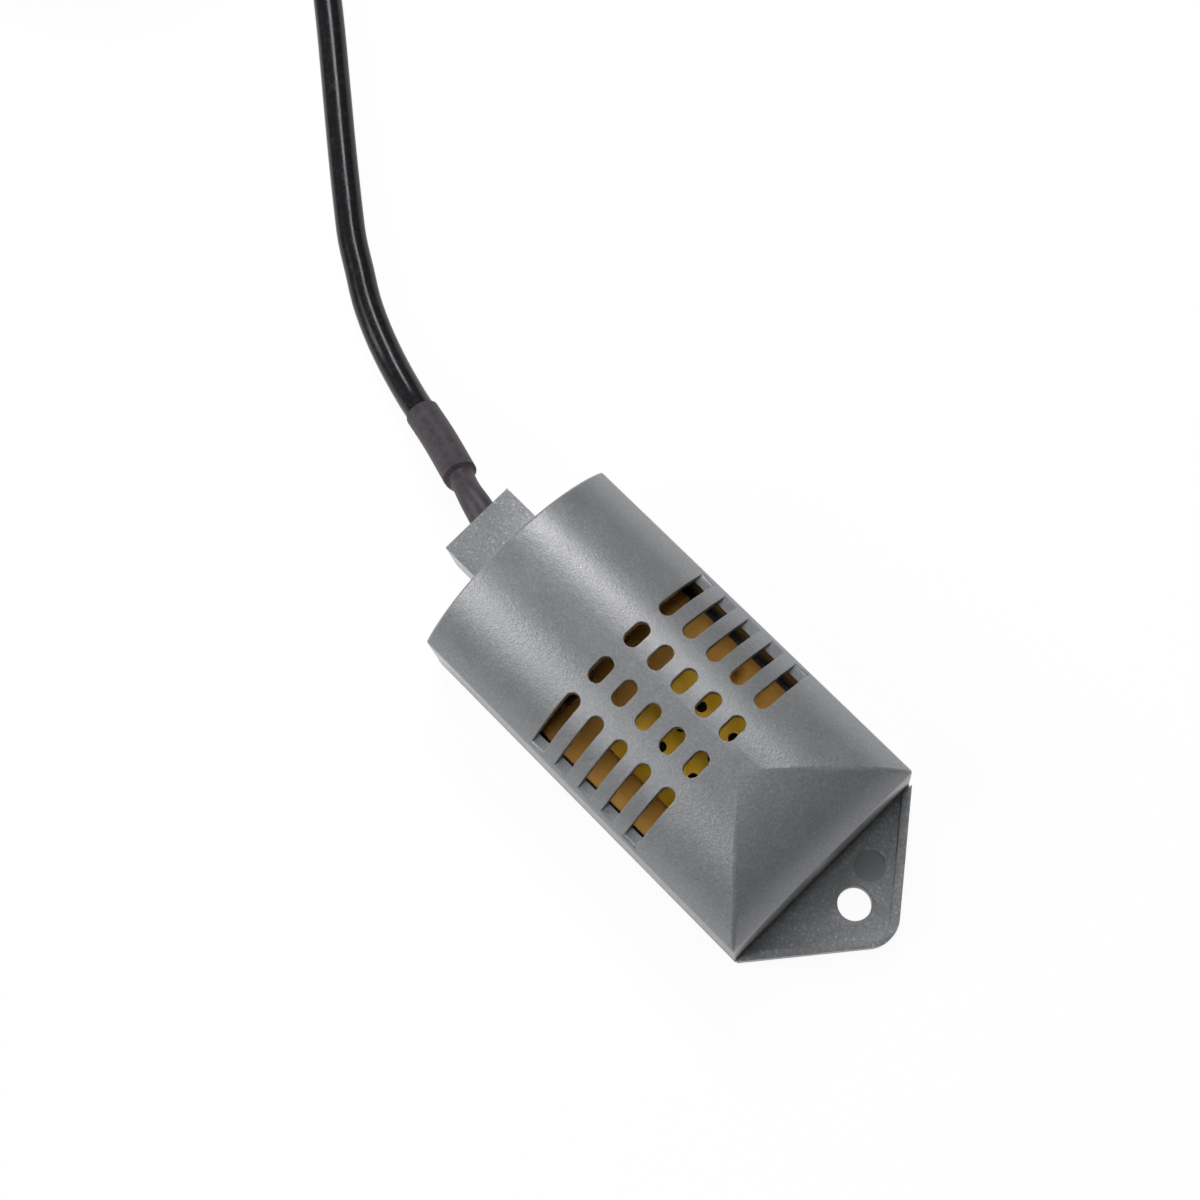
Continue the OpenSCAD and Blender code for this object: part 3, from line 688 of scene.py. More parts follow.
def turned_solid(profile: Sequence[tuple[float, float]], segments: int, place: Matrix, name: str) -> Piece:
    """Turns an outline of radius and height round its axis.

    Args:
        profile: The outline from one end of the axis to the other.
        segments: Steps round the axis.
        place: Where the axis goes, as a matrix that carries Z onto it.
        name: Name of the object.

    Returns:
        The closed solid.
    """
    shape = bmesh.new()
    angles = [2 * math.pi * k / segments for k in range(segments)]
    rings = []
    for r, z in profile:
        if r < 1e-9:
            rings.append([shape.verts.new(place @ Vector((0, 0, z)))] * segments)
            continue
        rings.append([shape.verts.new(place @ Vector((r * math.cos(a), r * math.sin(a), z))) for a in angles])
    join_rings(shape, rings)
    bmesh.ops.recalc_face_normals(shape, faces=shape.faces)
    return from_bmesh(shape, name)


def sharpen(piece: Piece, angle: float = 35) -> Piece:
    """Marks a piece's edges above an angle in degrees as sharp."""
    piece.data.set_sharp_from_angle(angle=math.radians(angle))
    return piece


# Geometry node trees for what repeats


class Pattern(NodeGraph):
    """A geometry node tree with named inputs, put on points or lines and then made a plain mesh."""

    def __init__(self, name: str) -> None:
        """Starts the tree of a name with a Geometry input and output."""
        super().__init__(bpy.data.node_groups.new(name, "GeometryNodeTree"))
        for way in ("INPUT", "OUTPUT"):
            self.tree.interface.new_socket("Geometry", in_out=way, socket_type="NodeSocketGeometry")
        self.sockets: dict[str, str] = {}
        self.start = self.node("NodeGroupInput")
        self.seed = self.start.outputs["Geometry"]

    def size(self, name: str, kind: str = "NodeSocketFloat") -> Socket:
        """Adds a named input and returns its socket inside the tree."""
        made = self.tree.interface.new_socket(name, in_out="INPUT", socket_type=kind)
        self.sockets[name] = made.identifier
        return self.start.outputs[name]

    def finish(self, geometry: Socket) -> "Pattern":
        """Ends the tree in Realize Instances and Set Material, and returns it."""
        solid = self.node("GeometryNodeRealizeInstances", Geometry=geometry).outputs[0]
        material = self.size("Material", "NodeSocketMaterial")
        dressed = self.node("GeometryNodeSetMaterial", Geometry=solid, Material=material)
        self.node("NodeGroupOutput", _0=dressed.outputs[0])
        return self

    def apply(self, seed: Piece, name: str, finish: str, **values: object) -> Piece:
        """Runs the tree on an object and makes the result a plain mesh.

        Args:
            seed: The object that carries the points or lines, which is used up.
            name: Name of the result.
            finish: Finish of the result.
            **values: The tree's inputs, with an underscore for a space.

        Returns:
            The plain mesh object.
        """
        modifier = seed.modifiers.new("pattern", "NODES")
        modifier.node_group = self.tree
        for key, value in values.items():
            modifier[self.sockets[key.replace("_", " ")]] = value
        modifier[self.sockets["Material"]] = finish_of(finish)
        return frozen(seed, name)


def ring_pattern() -> Pattern:
    """Builds the tree that sets a flat ring on each point, for plated holes."""
    made = Pattern("plated_rings")
    circle = made.node("GeometryNodeCurvePrimitiveCircle", Resolution=28, Radius=made.size("Radius"))
    width, height = made.size("Ring Width"), made.size("Height")
    flat = made.node("GeometryNodeCurvePrimitiveQuadrilateral", Width=width, Height=height)
    ring = made.node("GeometryNodeCurveToMesh", Curve=circle.outputs[0], Profile_Curve=flat.outputs[0])
    placed = made.node("GeometryNodeInstanceOnPoints", Points=made.seed, Instance=ring.outputs[0])
    return made.finish(placed.outputs["Instances"])


def strip_pattern() -> Pattern:
    """Builds the tree that lays a flat strip with rounded turns along lines, as for traces and leads."""
    made = Pattern("flat_strips")
    width, height, turn = made.size("Width"), made.size("Height"), made.size("Turn Radius")
    lines = made.node("GeometryNodeMeshToCurve", Mesh=made.seed)
    soft = made.node(
        "GeometryNodeFilletCurve", {"mode": "POLY"}, Curve=lines.outputs[0], Radius=turn, Count=5
    )
    flat = made.node("GeometryNodeCurvePrimitiveQuadrilateral", Width=width, Height=height)
    strip = made.node(
        "GeometryNodeCurveToMesh", Curve=soft.outputs[0], Profile_Curve=flat.outputs[0], Fill_Caps=True
    )
    return made.finish(strip.outputs[0])


def block_pattern() -> Pattern:
    """Builds the tree that sets a block of one size on each point, shifted by an offset."""
    made = Pattern("blocks_at_points")
    size, offset = made.size("Size", "NodeSocketVector"), made.size("Offset", "NodeSocketVector")
    block = made.node("GeometryNodeMeshCube", Size=size)
    moved = made.node("GeometryNodeTransform", Geometry=block.outputs["Mesh"], Translation=offset)
    placed = made.node("GeometryNodeInstanceOnPoints", Points=made.seed, Instance=moved.outputs[0])
    return made.finish(placed.outputs["Instances"])


def lines_object(lines: Iterable[Line]) -> Piece:
    """Makes an object of open lines of edges; a line of one point stays a loose point."""
    points: list[tuple] = []
    edges: list[tuple[int, int]] = []
    for line in lines:
        first = len(points)
        points += [tuple(p) for p in line]
        edges += [(k, k + 1) for k in range(first, first + len(line) - 1)]
    mesh = bpy.data.meshes.new("lines")
    mesh.from_pydata(points, edges, [])
    return new_object("lines", mesh)


# Casing


@dataclass
class Casing:
    """The vented cover, and the back part with its cable block and mounting tab."""

    cover_edge: Rounding = Rounding(0.00034, 3, 22, vents=0.35)
    housing_edge: Rounding = Rounding(0.00026, 3, 28)
    wall: float = 1.8 * MM
    spring_z: float = 14.4 * MM
    inner_spring_z: float = 15.0 * MM
    hip_l: float = 14.5 * MM
    crease_fade: float = 0.05 * MM
    tab_end_x: float = 24.2 * MM
    half_w: float = 15.25 * MM

    def roof_surfaces(self) -> list[RoundSurface]:
        """Returns the roof and the slope, outside and then inside, from the arch's own sizes."""
        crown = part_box("front_cover")[1].z

        def arch_radius(half: float, rise: float) -> float:
            """Returns the radius of an arch from its half width and its rise."""
            return (half**2 + rise**2) / (2 * rise)

        rise = crown - self.spring_z
        radius = arch_radius(self.half_w, rise)
        inner_radius = arch_radius(self.half_w - self.wall, crown - self.wall - self.inner_spring_z)
        hip_radius = arch_radius(self.hip_l, rise + self.crease_fade)
        hip = (self.tab_end_x - self.hip_l, crown + self.crease_fade - hip_radius)
        return [
            RoundSurface(0, (0, crown - radius), radius),
            RoundSurface(1, hip, hip_radius),
            RoundSurface(0, (0, crown - self.wall - inner_radius), inner_radius, inward=True),
            RoundSurface(1, hip, hip_radius - self.wall, inward=True),
        ]

    def build(self) -> None:
        """Builds and dresses both shells."""
        roof = self.roof_surfaces()
        rounded("front_cover", "cover_shell", self.cover_edge, "cover", "casing", COVER, roof)
        rounded("back_housing", "back_shell", self.housing_edge, "housing", "casing")


# Circuit board and sensor


@dataclass
class SensorBoard:
    """The amber board, the humidity sensor on it and the parts round them.

    A line's size is its width, its height and the radius of its turns, in millimetres.
    """

    board_edge: Rounding = Rounding(0.00012, 2)
    case_edge: Rounding = Rounding(0.00022, 3)
    part_edge: Rounding = Rounding(0.00006, 2)
    ring_height: float = 0.05 * MM
    via_columns: tuple = ((8.2 * MM, 2.9 * MM), (3.6 * MM, 4.3 * MM))
    via_inset: float = 1.5 * MM
    trace_line: Point = (0.35, 0.04, 0.3)
    trace_pitch: float = 3.2 * MM
    trace_bend: float = 3.2 * MM
    trace_bend_step: float = 0.7 * MM
    trace_ends: tuple[float, float] = (1.3 * MM, 0.4 * MM)
    print_margin: float = 0.35 * MM
    print_line: Point = (0.18, 0.02, 0.1)
    comb_line: Point = (0.25, 0.03, 0.0)
    comb_lift: float = 0.02 * MM
    cross_line: Point = (0.12, 0.03, 0.0)
    cross_depth: float = 0.045 * MM
    comb_fingers: int = 9
    comb_inset: float = 1.2 * MM
    comb_gap: float = 0.6 * MM
    chip_lean: float = 0.12 * MM
    fine_edge: float = 0.05 * MM
    dimple_r: float = 0.28 * MM
    dimple_depth: float = 0.1 * MM
    dimple_inset: float = 0.75 * MM
    lead_width: float = 0.4 * MM
    lead_thick: float = 0.18 * MM
    lead_pitch: float = 1.27 * MM
    lead_turn: float = 0.12 * MM
    lead_root: float = 0.1 * MM
    small_part_half: float = 1 * MM
    small_part_width: float = 1.25 * MM
    cap_length: float = 0.38 * MM
    cap_skin: float = 0.03 * MM
    vent_arm: float = 0.9 * MM
    dome_r: float = 0.9 * MM
    dome_flare: float = 2.2
    core_r: float = 0.5 * MM
    rings: Pattern = field(default_factory=ring_pattern)
    strips: Pattern = field(default_factory=strip_pattern)
    blocks: Pattern = field(default_factory=block_pattern)

    @property
    def top(self) -> float:
        """Returns the height of the board's upper face."""
        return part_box("circuit_board")[1].z

    def places(self, node: str) -> list[Vector]:
        """Returns the middle of each separate solid of a node, at the board's upper face."""
        shape = merged_bmesh(node)
        found, left = [], set(shape.verts)
        while left:
            island, front = set(), [left.pop()]
            while front:
                vert = front.pop()
                island.add(vert)
                near = {edge.other_vert(vert) for edge in vert.link_edges} & left
                left -= near
                front += near
            xs, ys = [v.co.x for v in island], [v.co.y for v in island]
            found.append(Vector(((min(xs) + max(xs)) / 2, (min(ys) + max(ys)) / 2, self.top)))
        shape.free()
        return sorted(found, key=lambda p: (round(p.x, 5), round(p.y, 5)))

    def strip(self, lines: Iterable[Line], name: str, finish: str, slot: str, size: Point) -> None:
        """Lays and dresses strips along lines.

        Args:
            lines: The lines.
            name: Name of the piece.
            finish: Its finish.
            slot: A material slot name, which is not used.
            size: The line's size.
        """
        width, height, turn = mm(*size)
        made = self.strips.apply(
            lines_object(lines), name, finish, Width=width, Height=height, Turn_Radius=turn
        )
        dress(made, finish)

    def build_board(self) -> None:
        """Builds the board with its plated holes, traces and printed outline."""
        rounded("circuit_board", "board_panel", self.board_edge, "board", "circuit_board")
        low, high, _ = corners("humidity_sensor_case")
        (left, left_pitch), (right, right_pitch) = self.via_columns
        vias = [Vector((low.x - left, low.y + k * left_pitch, self.top)) for k in range(5)]
        first = high.y - self.via_inset
        vias += [Vector((high.x + right, first - k * right_pitch, self.top)) for k in range(4)]
        lift = Vector((0, 0, self.ring_height / 2))
        pads = self.places("solder_joints")
        for name, holes, finish, slot, radius, width in (
            ("pin_rings", self.places("sensor_pins"), "tin", "tinned_metal", 0.75, 0.45),
            ("pad_rings", pads, "tin", "tinned_metal", 1.05, 0.35),
            ("via_rings", vias, "gold", "circuit_board", 0.32, 0.2),
        ):
            made = self.rings.apply(
                lines_object([p + lift] for p in holes), name, finish,
                Radius=radius * MM, Ring_Width=width * MM, Height=self.ring_height,
            )
            dress(made, finish)
        self.build_traces(pads)
        self.build_print()

    def build_traces(self, pads: Line) -> None:
        """Lays the copper traces, which the mask covers, from the pads towards the sensor."""
        low, _, middle = corners("humidity_sensor_case")
        z = self.top + self.trace_line[1] / 2 * MM
        from_pad, under_case = self.trace_ends
        lines = []
        for k, pad in enumerate(pads):
            bend = low.x - self.trace_bend + k * self.trace_bend_step
            target = middle.y + (k - 1) * self.trace_pitch
            stops = (
                (pad.x + from_pad, pad.y), (bend - abs(target - pad.y), pad.y), (bend, target),
                (low.x + under_case, target),
            )
            lines.append([Vector((x, y, z)) for x, y in stops])
        self.strip(lines, "board_traces", "board", "circuit_board", self.trace_line)

    def build_print(self) -> None:
        """Lays the plain white outline that is printed round the electrolytic capacitor."""
        low, high, _ = corners("electrolytic_base")
        z, margin = self.top + self.print_line[1] / 2 * MM, self.print_margin
        x0, x1, y0, y1 = low.x - margin, high.x + margin, low.y - margin, high.y + margin
        box = [(x0, y0), (x1, y0), (x1, y1), (x0, y1), (x0, y0)]
        line = [Vector((x, y, z)) for x, y in box]
        self.strip([line], "board_print", "print", "circuit_board", self.print_line)

    def build_sensor(self) -> None:
        """Builds the sensor's case, its sensing plate with a printed comb, and its pins."""
        rounded("humidity_sensor_case", "sensor_case", self.case_edge, "amber", "sensor_amber")
        rounded("humidity_element", "sensing_plate", self.part_edge, "film", "ceramic")
        low, high, _ = corners("humidity_element")
        inset, gap, last = self.comb_inset, self.comb_gap, self.comb_fingers - 1
        z = high.z + self.comb_lift
        step = (high.y - low.y - 2 * inset) / last
        fingers = []
        for k in range(self.comb_fingers):
            y = low.y + inset + k * step
            shift = gap if k % 2 else 0
            ends = (low.x + inset + shift, high.x - inset - gap + shift)
            fingers.append([Vector((x, y, z)) for x in ends])
        for x, ends in ((low.x + inset, (0, last)), (high.x - inset, (1, last - 1))):
            fingers.append([Vector((x, low.y + inset + e * step, z)) for e in ends])
        self.strip(fingers, "plate_comb", "gold", "ceramic", self.comb_line)
        dress_node("sensor_pins", "tin")

    def build_chip(self) -> None:
        """Builds the signal chip with its leaning sides and its dimple."""
        low, high, middle = corners("signal_chip")
        size = high - low
        shape = bmesh.new()
        rings = []
        for z, inset in ((low.z, self.chip_lean), (middle.z, 0.0), (high.z, self.chip_lean)):
            x, y = size.x / 2 - inset, size.y / 2 - inset
            square = ((-x, -y), (x, -y), (x, y), (-x, y))
            rings.append([shape.verts.new((middle.x + a, middle.y + b, z)) for a, b in square])
        join_rings(shape, rings, capped=True)
        rough = from_bmesh(shape, "chip_rough")
        r, depth = self.dimple_r, self.dimple_depth
        centre = Vector((low.x + self.dimple_inset, low.y + self.dimple_inset, high.z))
        outline = [(0, -depth), (r, -depth), (r, depth), (0, depth)]
        dimple = turned_solid(outline, 20, Matrix.Translation(centre), "dimple_cutter")
        cut = rough.modifiers.new("dimple", "BOOLEAN")
        cut.object, cut.solver = dimple, "MANIFOLD"
        bevelled(rough, self.fine_edge, 2)
        body = frozen(rough, "chip_body")
        bpy.data.objects.remove(dimple)
        dress(body, "epoxy", ["signal_chip"])
        self.build_leads(high, middle, size)

    def build_leads(self, high: Vector, middle: Vector, size: Vector) -> None:
        """Builds the chip's gull-wing leads.

        Args:
            high: The chip's highest corner.
            middle: The chip's middle.
            size: The chip's size.
        """
        foot = self.top + self.lead_thick / 2
        knee, reach = middle.z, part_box("chip_leads")[1].y - high.y
        lines = []
        for side in (-1, 1):
            edge = middle.y + side * (size.y / 2 - self.lead_root)
            for k in range(4):
                x = middle.x + (k - 1.5) * self.lead_pitch
                outs = ((0, knee), (0.45 * reach, knee), (0.62 * reach, foot), (reach, foot))
                lines.append([Vector((x, edge + side * out, z)) for out, z in outs])
        leads = self.strips.apply(
            lines_object(lines), "chip_leads_bent", "tin",
            Width=self.lead_thick, Height=self.lead_width, Turn_Radius=self.lead_turn,
        )
        dress(sharpen(leads), "tin", ["chip_leads"])

    def build_small_parts(self) -> None:
        """Builds resistors and capacitors with their tinned ends."""
        for node, finish, slot in (
            ("chip_resistors", "epoxy", "resistor"), ("chip_capacitors", "tan", "capacitor"),
        ):
            rounded(node, node + "_bodies", self.part_edge, finish, slot)
            low, high, _ = corners(node)
            height = high.z - low.z + self.cap_skin
            lift = Vector((0, 0, height / 2))
            middles = [[p + lift] for p in self.places(node)]
            reach = self.small_part_half - self.cap_length / 2 + self.cap_skin
            for side, word in ((-1, "left"), (1, "right")):
                ends = self.blocks.apply(
                    lines_object(middles), "ends_rough", "tin", Offset=(side * reach, 0, 0),
                    Size=(self.cap_length, self.small_part_width + 2 * self.cap_skin, height),
                )
                bevelled(ends, self.fine_edge, 2)
                dress(frozen(ends, f"{node}_{word}_ends"), "tin")

    def build_can(self) -> None:
        """Builds the electrolytic capacitor: can with a rolled groove, vent cross and base."""
        low, high, middle = corners("electrolytic_can")
        r, h = (high.x - low.x) / 2 / MM, (high.z - low.z) / MM
        outline = [
            (0, 0), (r - 0.15, 0), (r, 0.15), (r, 0.75), (r - 0.22, 0.95), (r - 0.22, 1.1), (r, 1.3),
            (r, h - 0.3), (r - 0.1, h - 0.08), (r - 0.3, h), (r - 0.5, h - 0.05), (0, h - 0.05),
        ]
        place = Matrix.Translation((middle.x, middle.y, low.z)) @ Matrix.Scale(MM, 4)
        can = sharpen(turned_solid(outline, 48, place, "capacitor_can"), 50)
        dress(can, "can", ["electrolytic_can"])
        centre = Vector((middle.x, middle.y, high.z - self.cross_depth))
        arms = (Vector((self.vent_arm, 0, 0)), Vector((0, self.vent_arm, 0)))
        cross = [[centre - arm, centre + arm] for arm in arms]
        self.strip(cross, "can_cross", "steel", "can_aluminium", self.cross_line)
        rounded("electrolytic_base", "capacitor_base", self.part_edge, "epoxy", "epoxy")

    def build_joints(self) -> None:
        """Builds the solder domes, the screws and the bead on its leads."""
        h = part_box("solder_joints")[1].z - self.top
        r, core = self.dome_r, self.core_r
        shares = (0.15, 0.35, 0.6, 0.85, 1.0)
        slope = [(core + (r - core) * (1 - t) ** self.dome_flare, h * t) for t in shares]
        for k, place in enumerate(self.places("solder_joints")):
            outline = [(0, 0), (r, 0), *slope, (0, h)]
            dome = turned_solid(outline, 28, Matrix.Translation(place), f"solder_dome_{k + 1}")
            dress(sharpen(dome, 60), "tin", ["solder_joints"])
        rounded("board_screws", "board_screw_pair", self.board_edge, "steel", "screw_steel")
        low, high, middle = corners("thermistor_bead")
        r = (high.z - low.z) / 2
        ball = [(r * math.cos(a), r * math.sin(a)) for a in (math.radians(15 * k) for k in range(-1, 6))]
        drop = [(0, -1.25 * r), (0.35 * r, -1.15 * r), (0.75 * r, -0.75 * r), *ball, (0, r)]
        bead = turned_solid(drop, 36, Matrix.Translation(middle), "bead_drop")
        dress(bead, "epoxy", ["thermistor_bead"])
        dress_node("thermistor_leads", "tin")

    def build(self) -> None:
        """Builds everything on the board."""
        self.build_board()
        self.build_sensor()
        self.build_chip()
        self.build_small_parts()
        self.build_can()
        self.build_joints()


# Lead


@dataclass
class Coil:
    """The coil of spare cable, wound by the same rule as the solid it stands for."""

    centre: tuple[float, float] = (-155.7, 39.9)
    start_angle: float = 53
    layers: int = 4
    turns: float = 10 + 1 / 6
    pitch: float = 4.5
    inner_r: float = 14.8
    first_z: float = 2.7
    climb_turns: float = 0.5
    rings_per_turn: int = 36

    def point(self, turn: float) -> Vector:
        """Returns the centreline's point after some turns."""
        per_layer = self.turns / self.layers
        run = min(int(turn // per_layer), self.layers)
        part = self.pitch * (turn - run * per_layer)
        r = self.inner_r + (per_layer * self.pitch - part if run % 2 == 0 else part)
        a = math.radians(self.start_angle) + 2 * math.pi * turn
        layer = sum(
            smooth_step((turn - k * per_layer + self.climb_turns / 2) / self.climb_turns)
            for k in range(1, self.layers)
        )
        x, y = self.centre
        return mm(x + r * math.cos(a), y + r * math.sin(a), self.first_z + self.pitch * layer)

    def heading(self, turn: float) -> Vector:
        """Returns the direction in which the cable runs after some turns."""
        a = math.radians(self.start_angle) + 2 * math.pi * turn
        return Vector((-math.sin(a), math.cos(a), 0))

    def points(self) -> list[Vector]:
        """Returns the whole centreline."""
        steps = round(self.turns * self.rings_per_turn)
        return [self.point(self.turns * k / steps) for k in range(steps + 1)]


@dataclass
class Lead:
    """The cable with its sleeve, coil, tie and plug, and the wires at its inner end."""

    cable_d: float = 4 * MM
    sleeve_d: float = 4.6 * MM
    sleeve_wall: float = 0.3 * MM
    neck_d: float = 3.8 * MM
    wire_r: float = 0.55 * MM
    straight: float = 3 * MM
    sides: int = 20
    spacing: float = 1.6 * MM
    rim_depth: float = 1.2 * MM
    length: float = 1.475
    boot_ribs: int = 5
    boot_dip: float = 0.42 * MM
    boot_neck_r: float = 2.4 * MM
    strand_r: float = 0.42 * MM
    strand_spread: float = 0.45 * MM
    strand_turns: int = 4
    strand_reach: Point = (2.5 * MM, 9 * MM, 0.9 * MM)
    core_pitch: float = 1.15 * MM
    pad_pitch: float = 2.6 * MM
    tie_edge: Rounding = Rounding(0.00012, 2, 30)
    block_tie_edge: Rounding = Rounding(0.0001, 2, 30)
    grip_edge: Rounding = Rounding(0.00015, 2, 25)
    contact_edge: Rounding = Rounding(0.00006, 2, 40)
    coil: Coil = field(default_factory=Coil)
    exit: Point = (-36, 1, 10.35)
    sleeve_step: Point = (-43.4, 2.98, 8.43)
    sleeve_route: tuple = (
        (-23.3, 0.5, 10.4), (-27.3, 0.5, 10.4), (-31, 0.5, 10.4), (-34, 0.7, 10.4), (-36, 1, 10.35),
        (-37.7, 1.4, 10.2), (-40.6, 2.1, 9.5), (-43, 2.85, 8.6), (-43.7, 3.05, 8.3),
        (-49.4, 4.6, 6.1), (-54.6, 5.7, 4.4),
    )
    inside_route: tuple = ((-44.9, 3.4, 7.85), (-49.4, 4.6, 6.1))
    cable_route: tuple = (
        (-63.6, 8, 2.3), (-68.4, 9.7, 2.1), (-72.6, 11.6, 2), (-76.5, 13.9, 2), (-80.4, 16.2, 2),
        (-84, 18.8, 2), (-91, 24.1, 2), (-98.2, 29.7, 2), (-105.4, 35.3, 2), (-113, 41, 2),
        (-121, 47, 2.3), (-128, 52.2, 2.7),
    )
    tail_route: tuple = (
        (-176.3, 59.5, 15.3), (-180.6, 57, 13.4), (-183.8, 53.2, 11.2), (-185.8, 48.4, 9),
        (-186.6, 43, 7), (-186.4, 37.5, 5.4), (-185.3, 33, 4.5),
    )
    plug_at: Point = (-184.5, 27.4, 4.2)

    def route(self) -> list[Vector]:
        """Returns the cable's centreline from inside the sleeve to the plug."""
        before, end = (mm(*p) for p in self.sleeve_route[-2:])
        out = (end - before).normalized()
        way_in, way_out = self.coil.heading(0), self.coil.heading(self.coil.turns)
        enter = self.coil.point(0) - self.cable_d * way_in
        leave = self.coil.point(self.coil.turns) + self.cable_d * way_out
        plug = mm(*self.plug_at)
        return smooth_route([
            *(mm(*p) for p in self.inside_route), end, end + self.straight * out,
            *(mm(*p) for p in self.cable_route),
            enter - self.straight * way_in, enter, *self.coil.points(),
            leave, leave + self.straight * way_out,
            *(mm(*p) for p in self.tail_route),
            plug + Vector((0, self.straight, 0)), plug,
        ], self.spacing)

    def build(self) -> None:
        """Builds the lead from the block to the plug's tip."""
        route = self.route()
        cable = swept_tube(route, lambda s, a: self.cable_d / 2, self.sides, "lead_cable")
        dress(cable, "cable", ["cable", "cable_coil", "cable_tail"])
        pieces = [self.build_sleeve(), *self.build_tie(), *self.build_plug()]
        log.info("cable length %.4f m", length_of(route))
        self.build_wires()

    def build_sleeve(self) -> Piece:
        """Builds the shrunk sleeve: a wide part over the jacket that steps down to the wires."""
        route = smooth_route([mm(*p) for p in self.sleeve_route], 0.35 * MM)
        at_step = mm(*self.sleeve_step)
        nearest = min(range(len(route)), key=lambda i: (route[i] - at_step).length)
        step = length_of(route[:nearest + 1])
        wide, neck = self.sleeve_d / 2, self.neck_d / 2
        squeeze, fold_depth, ripple_depth = mm(0.25, 0.08, 0.02)
        short_step, long_step, long_side = 0.35 * MM, 2.0 * MM, math.radians(150)

        def radius(s: float, a: float) -> float:
            """Gives the sleeve's radius at a distance along it and an angle round it."""
            shoulder = short_step + long_step * max(0, math.cos(a - long_side)) ** 5
            grow = smooth_step((s - step + shoulder - 0.3 * MM) / shoulder)
            waist = smooth_step((step - s) / (5 * MM))
            fold = fold_depth * math.sin(2 * a + s / (1.6 * MM)) * smooth_step((step - s) / (1.5 * MM))
            slim = neck - squeeze * (1 - waist) + fold
            ripple = ripple_depth * math.sin(3 * a + s / (2.3 * MM)) * smooth_step((s - step) / (2 * MM))
            return slim + (wide - slim + ripple) * grow

        sleeve = swept_tube(route, radius, 40, "lead_sleeve", closed_ends=False)
        shape = bmesh.new()
        shape.from_mesh(sleeve.data)
        rims = [e for e in shape.edges if e.is_boundary]
        for at, inner in ((route[0], route[1]), (route[-1], route[-2])):
            self.close_rim(shape, [e for e in rims if (e.verts[0].co - at).length < 2 * wide], at, inner)
        bmesh.ops.recalc_face_normals(shape, faces=shape.faces)
        shape.to_mesh(sleeve.data)
        shape.free()
        log.info("sleeve %.1f mm long", length_of(route) / MM)
        return dress(sharpen(sleeve, 50), "sleeve", ["heat_shrink_sleeve"])

    def close_rim(self, shape: BMesh, rim: list[bmesh.types.BMEdge], at: Vector, inner: Vector) -> None:
        """Gives one end of the sleeve its wall and a closed inside a little way in.

        Args:
            shape: The sleeve's mesh.
            rim: The end's open edges.
            at: The centreline's point at the end.
            inner: The centreline's next point.
        """
        into = (inner - at).normalized() * self.rim_depth
        for shift in (lambda co: (at - co).normalized() * self.sleeve_wall, lambda co: into):
            made = bmesh.ops.extrude_edge_only(shape, edges=rim)["geom"]
            rim = [item for item in made if isinstance(item, bmesh.types.BMEdge)]
            for v in (item for item in made if isinstance(item, bmesh.types.BMVert)):
                v.co += shift(v.co)
        bmesh.ops.contextual_create(shape, geom=rim)

    def build_tie(self) -> list[Piece]:
        """Builds the coil's tie: a flat band and its twisted end."""
        band = rounded("coil_tie", "tie_band", self.tie_edge, "tie", "tie_plastic")
        low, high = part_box("coil_tie")
        base = Vector(((low.x + high.x) / 2, (low.y + high.y) / 2, high.z - 0.3 * MM))
        spread, points_each = self.strand_spread, 40
        lean, reach, lift = self.strand_reach
        strands = []
        for number, phase in ((2, 0), (1, math.pi)):
            points = []
            for k in range(points_each):
                t = k / (points_each - 1)
                a = phase + t * self.strand_turns * 2 * math.pi
                x, z = spread * math.cos(a) + t * lean, spread * math.sin(a) + lift
                points.append(base + Vector((x, (t - 0.1) * reach, z)))
            strand = swept_tube(points, lambda s, a: self.strand_r, 10, f"tie_strand_{number}")
            strands.append(dress(strand, "tie"))
        return [band, *strands]

    def build_plug(self) -> list[Piece]:
        """Builds the jack plug's boot with its ribs, its grip and its contacts."""
        low, high, middle = corners("plug_boot")
        h, thin, thick, dip = high.y - low.y, self.boot_neck_r, (high.x - low.x) / 2, self.boot_dip
        outline = [(0, 0), (thin, 0)]
        for k in range(self.boot_ribs):
            z0, z1 = (h * (k + share) / (self.boot_ribs + 0.4) for share in (0.35, 0.95))
            r0, r1 = (thin + (thick - thin) * z / h for z in (z0, z1))
            outline += [(r0, z0), (r0 - dip, z0 + 0.1 * MM), (r1 - dip, z1 - 0.1 * MM), (r1, z1)]
        outline += [(thick, h), (0, h)]
        place = Matrix.Translation((middle.x, high.y, middle.z)) @ Matrix.Rotation(math.pi / 2, 4, "X")
        boot = sharpen(turned_solid(outline, 48, place, "boot_ribbed"), 40)
        made = [dress(boot, "plug", ["plug_boot"])]
        made.append(rounded("plug_grip", "grip_ribbed", self.grip_edge, "plug", "plug_plastic"))
        for part in ("sleeve_contact", "ring_contact", "tip_contact", "insulators"):
            looks = ("rings", "jack_insulator") if part == "insulators" else ("nickel", "jack_plating")
            made.append(rounded("plug_" + part, "jack_" + part, self.contact_edge, *looks))
        return made

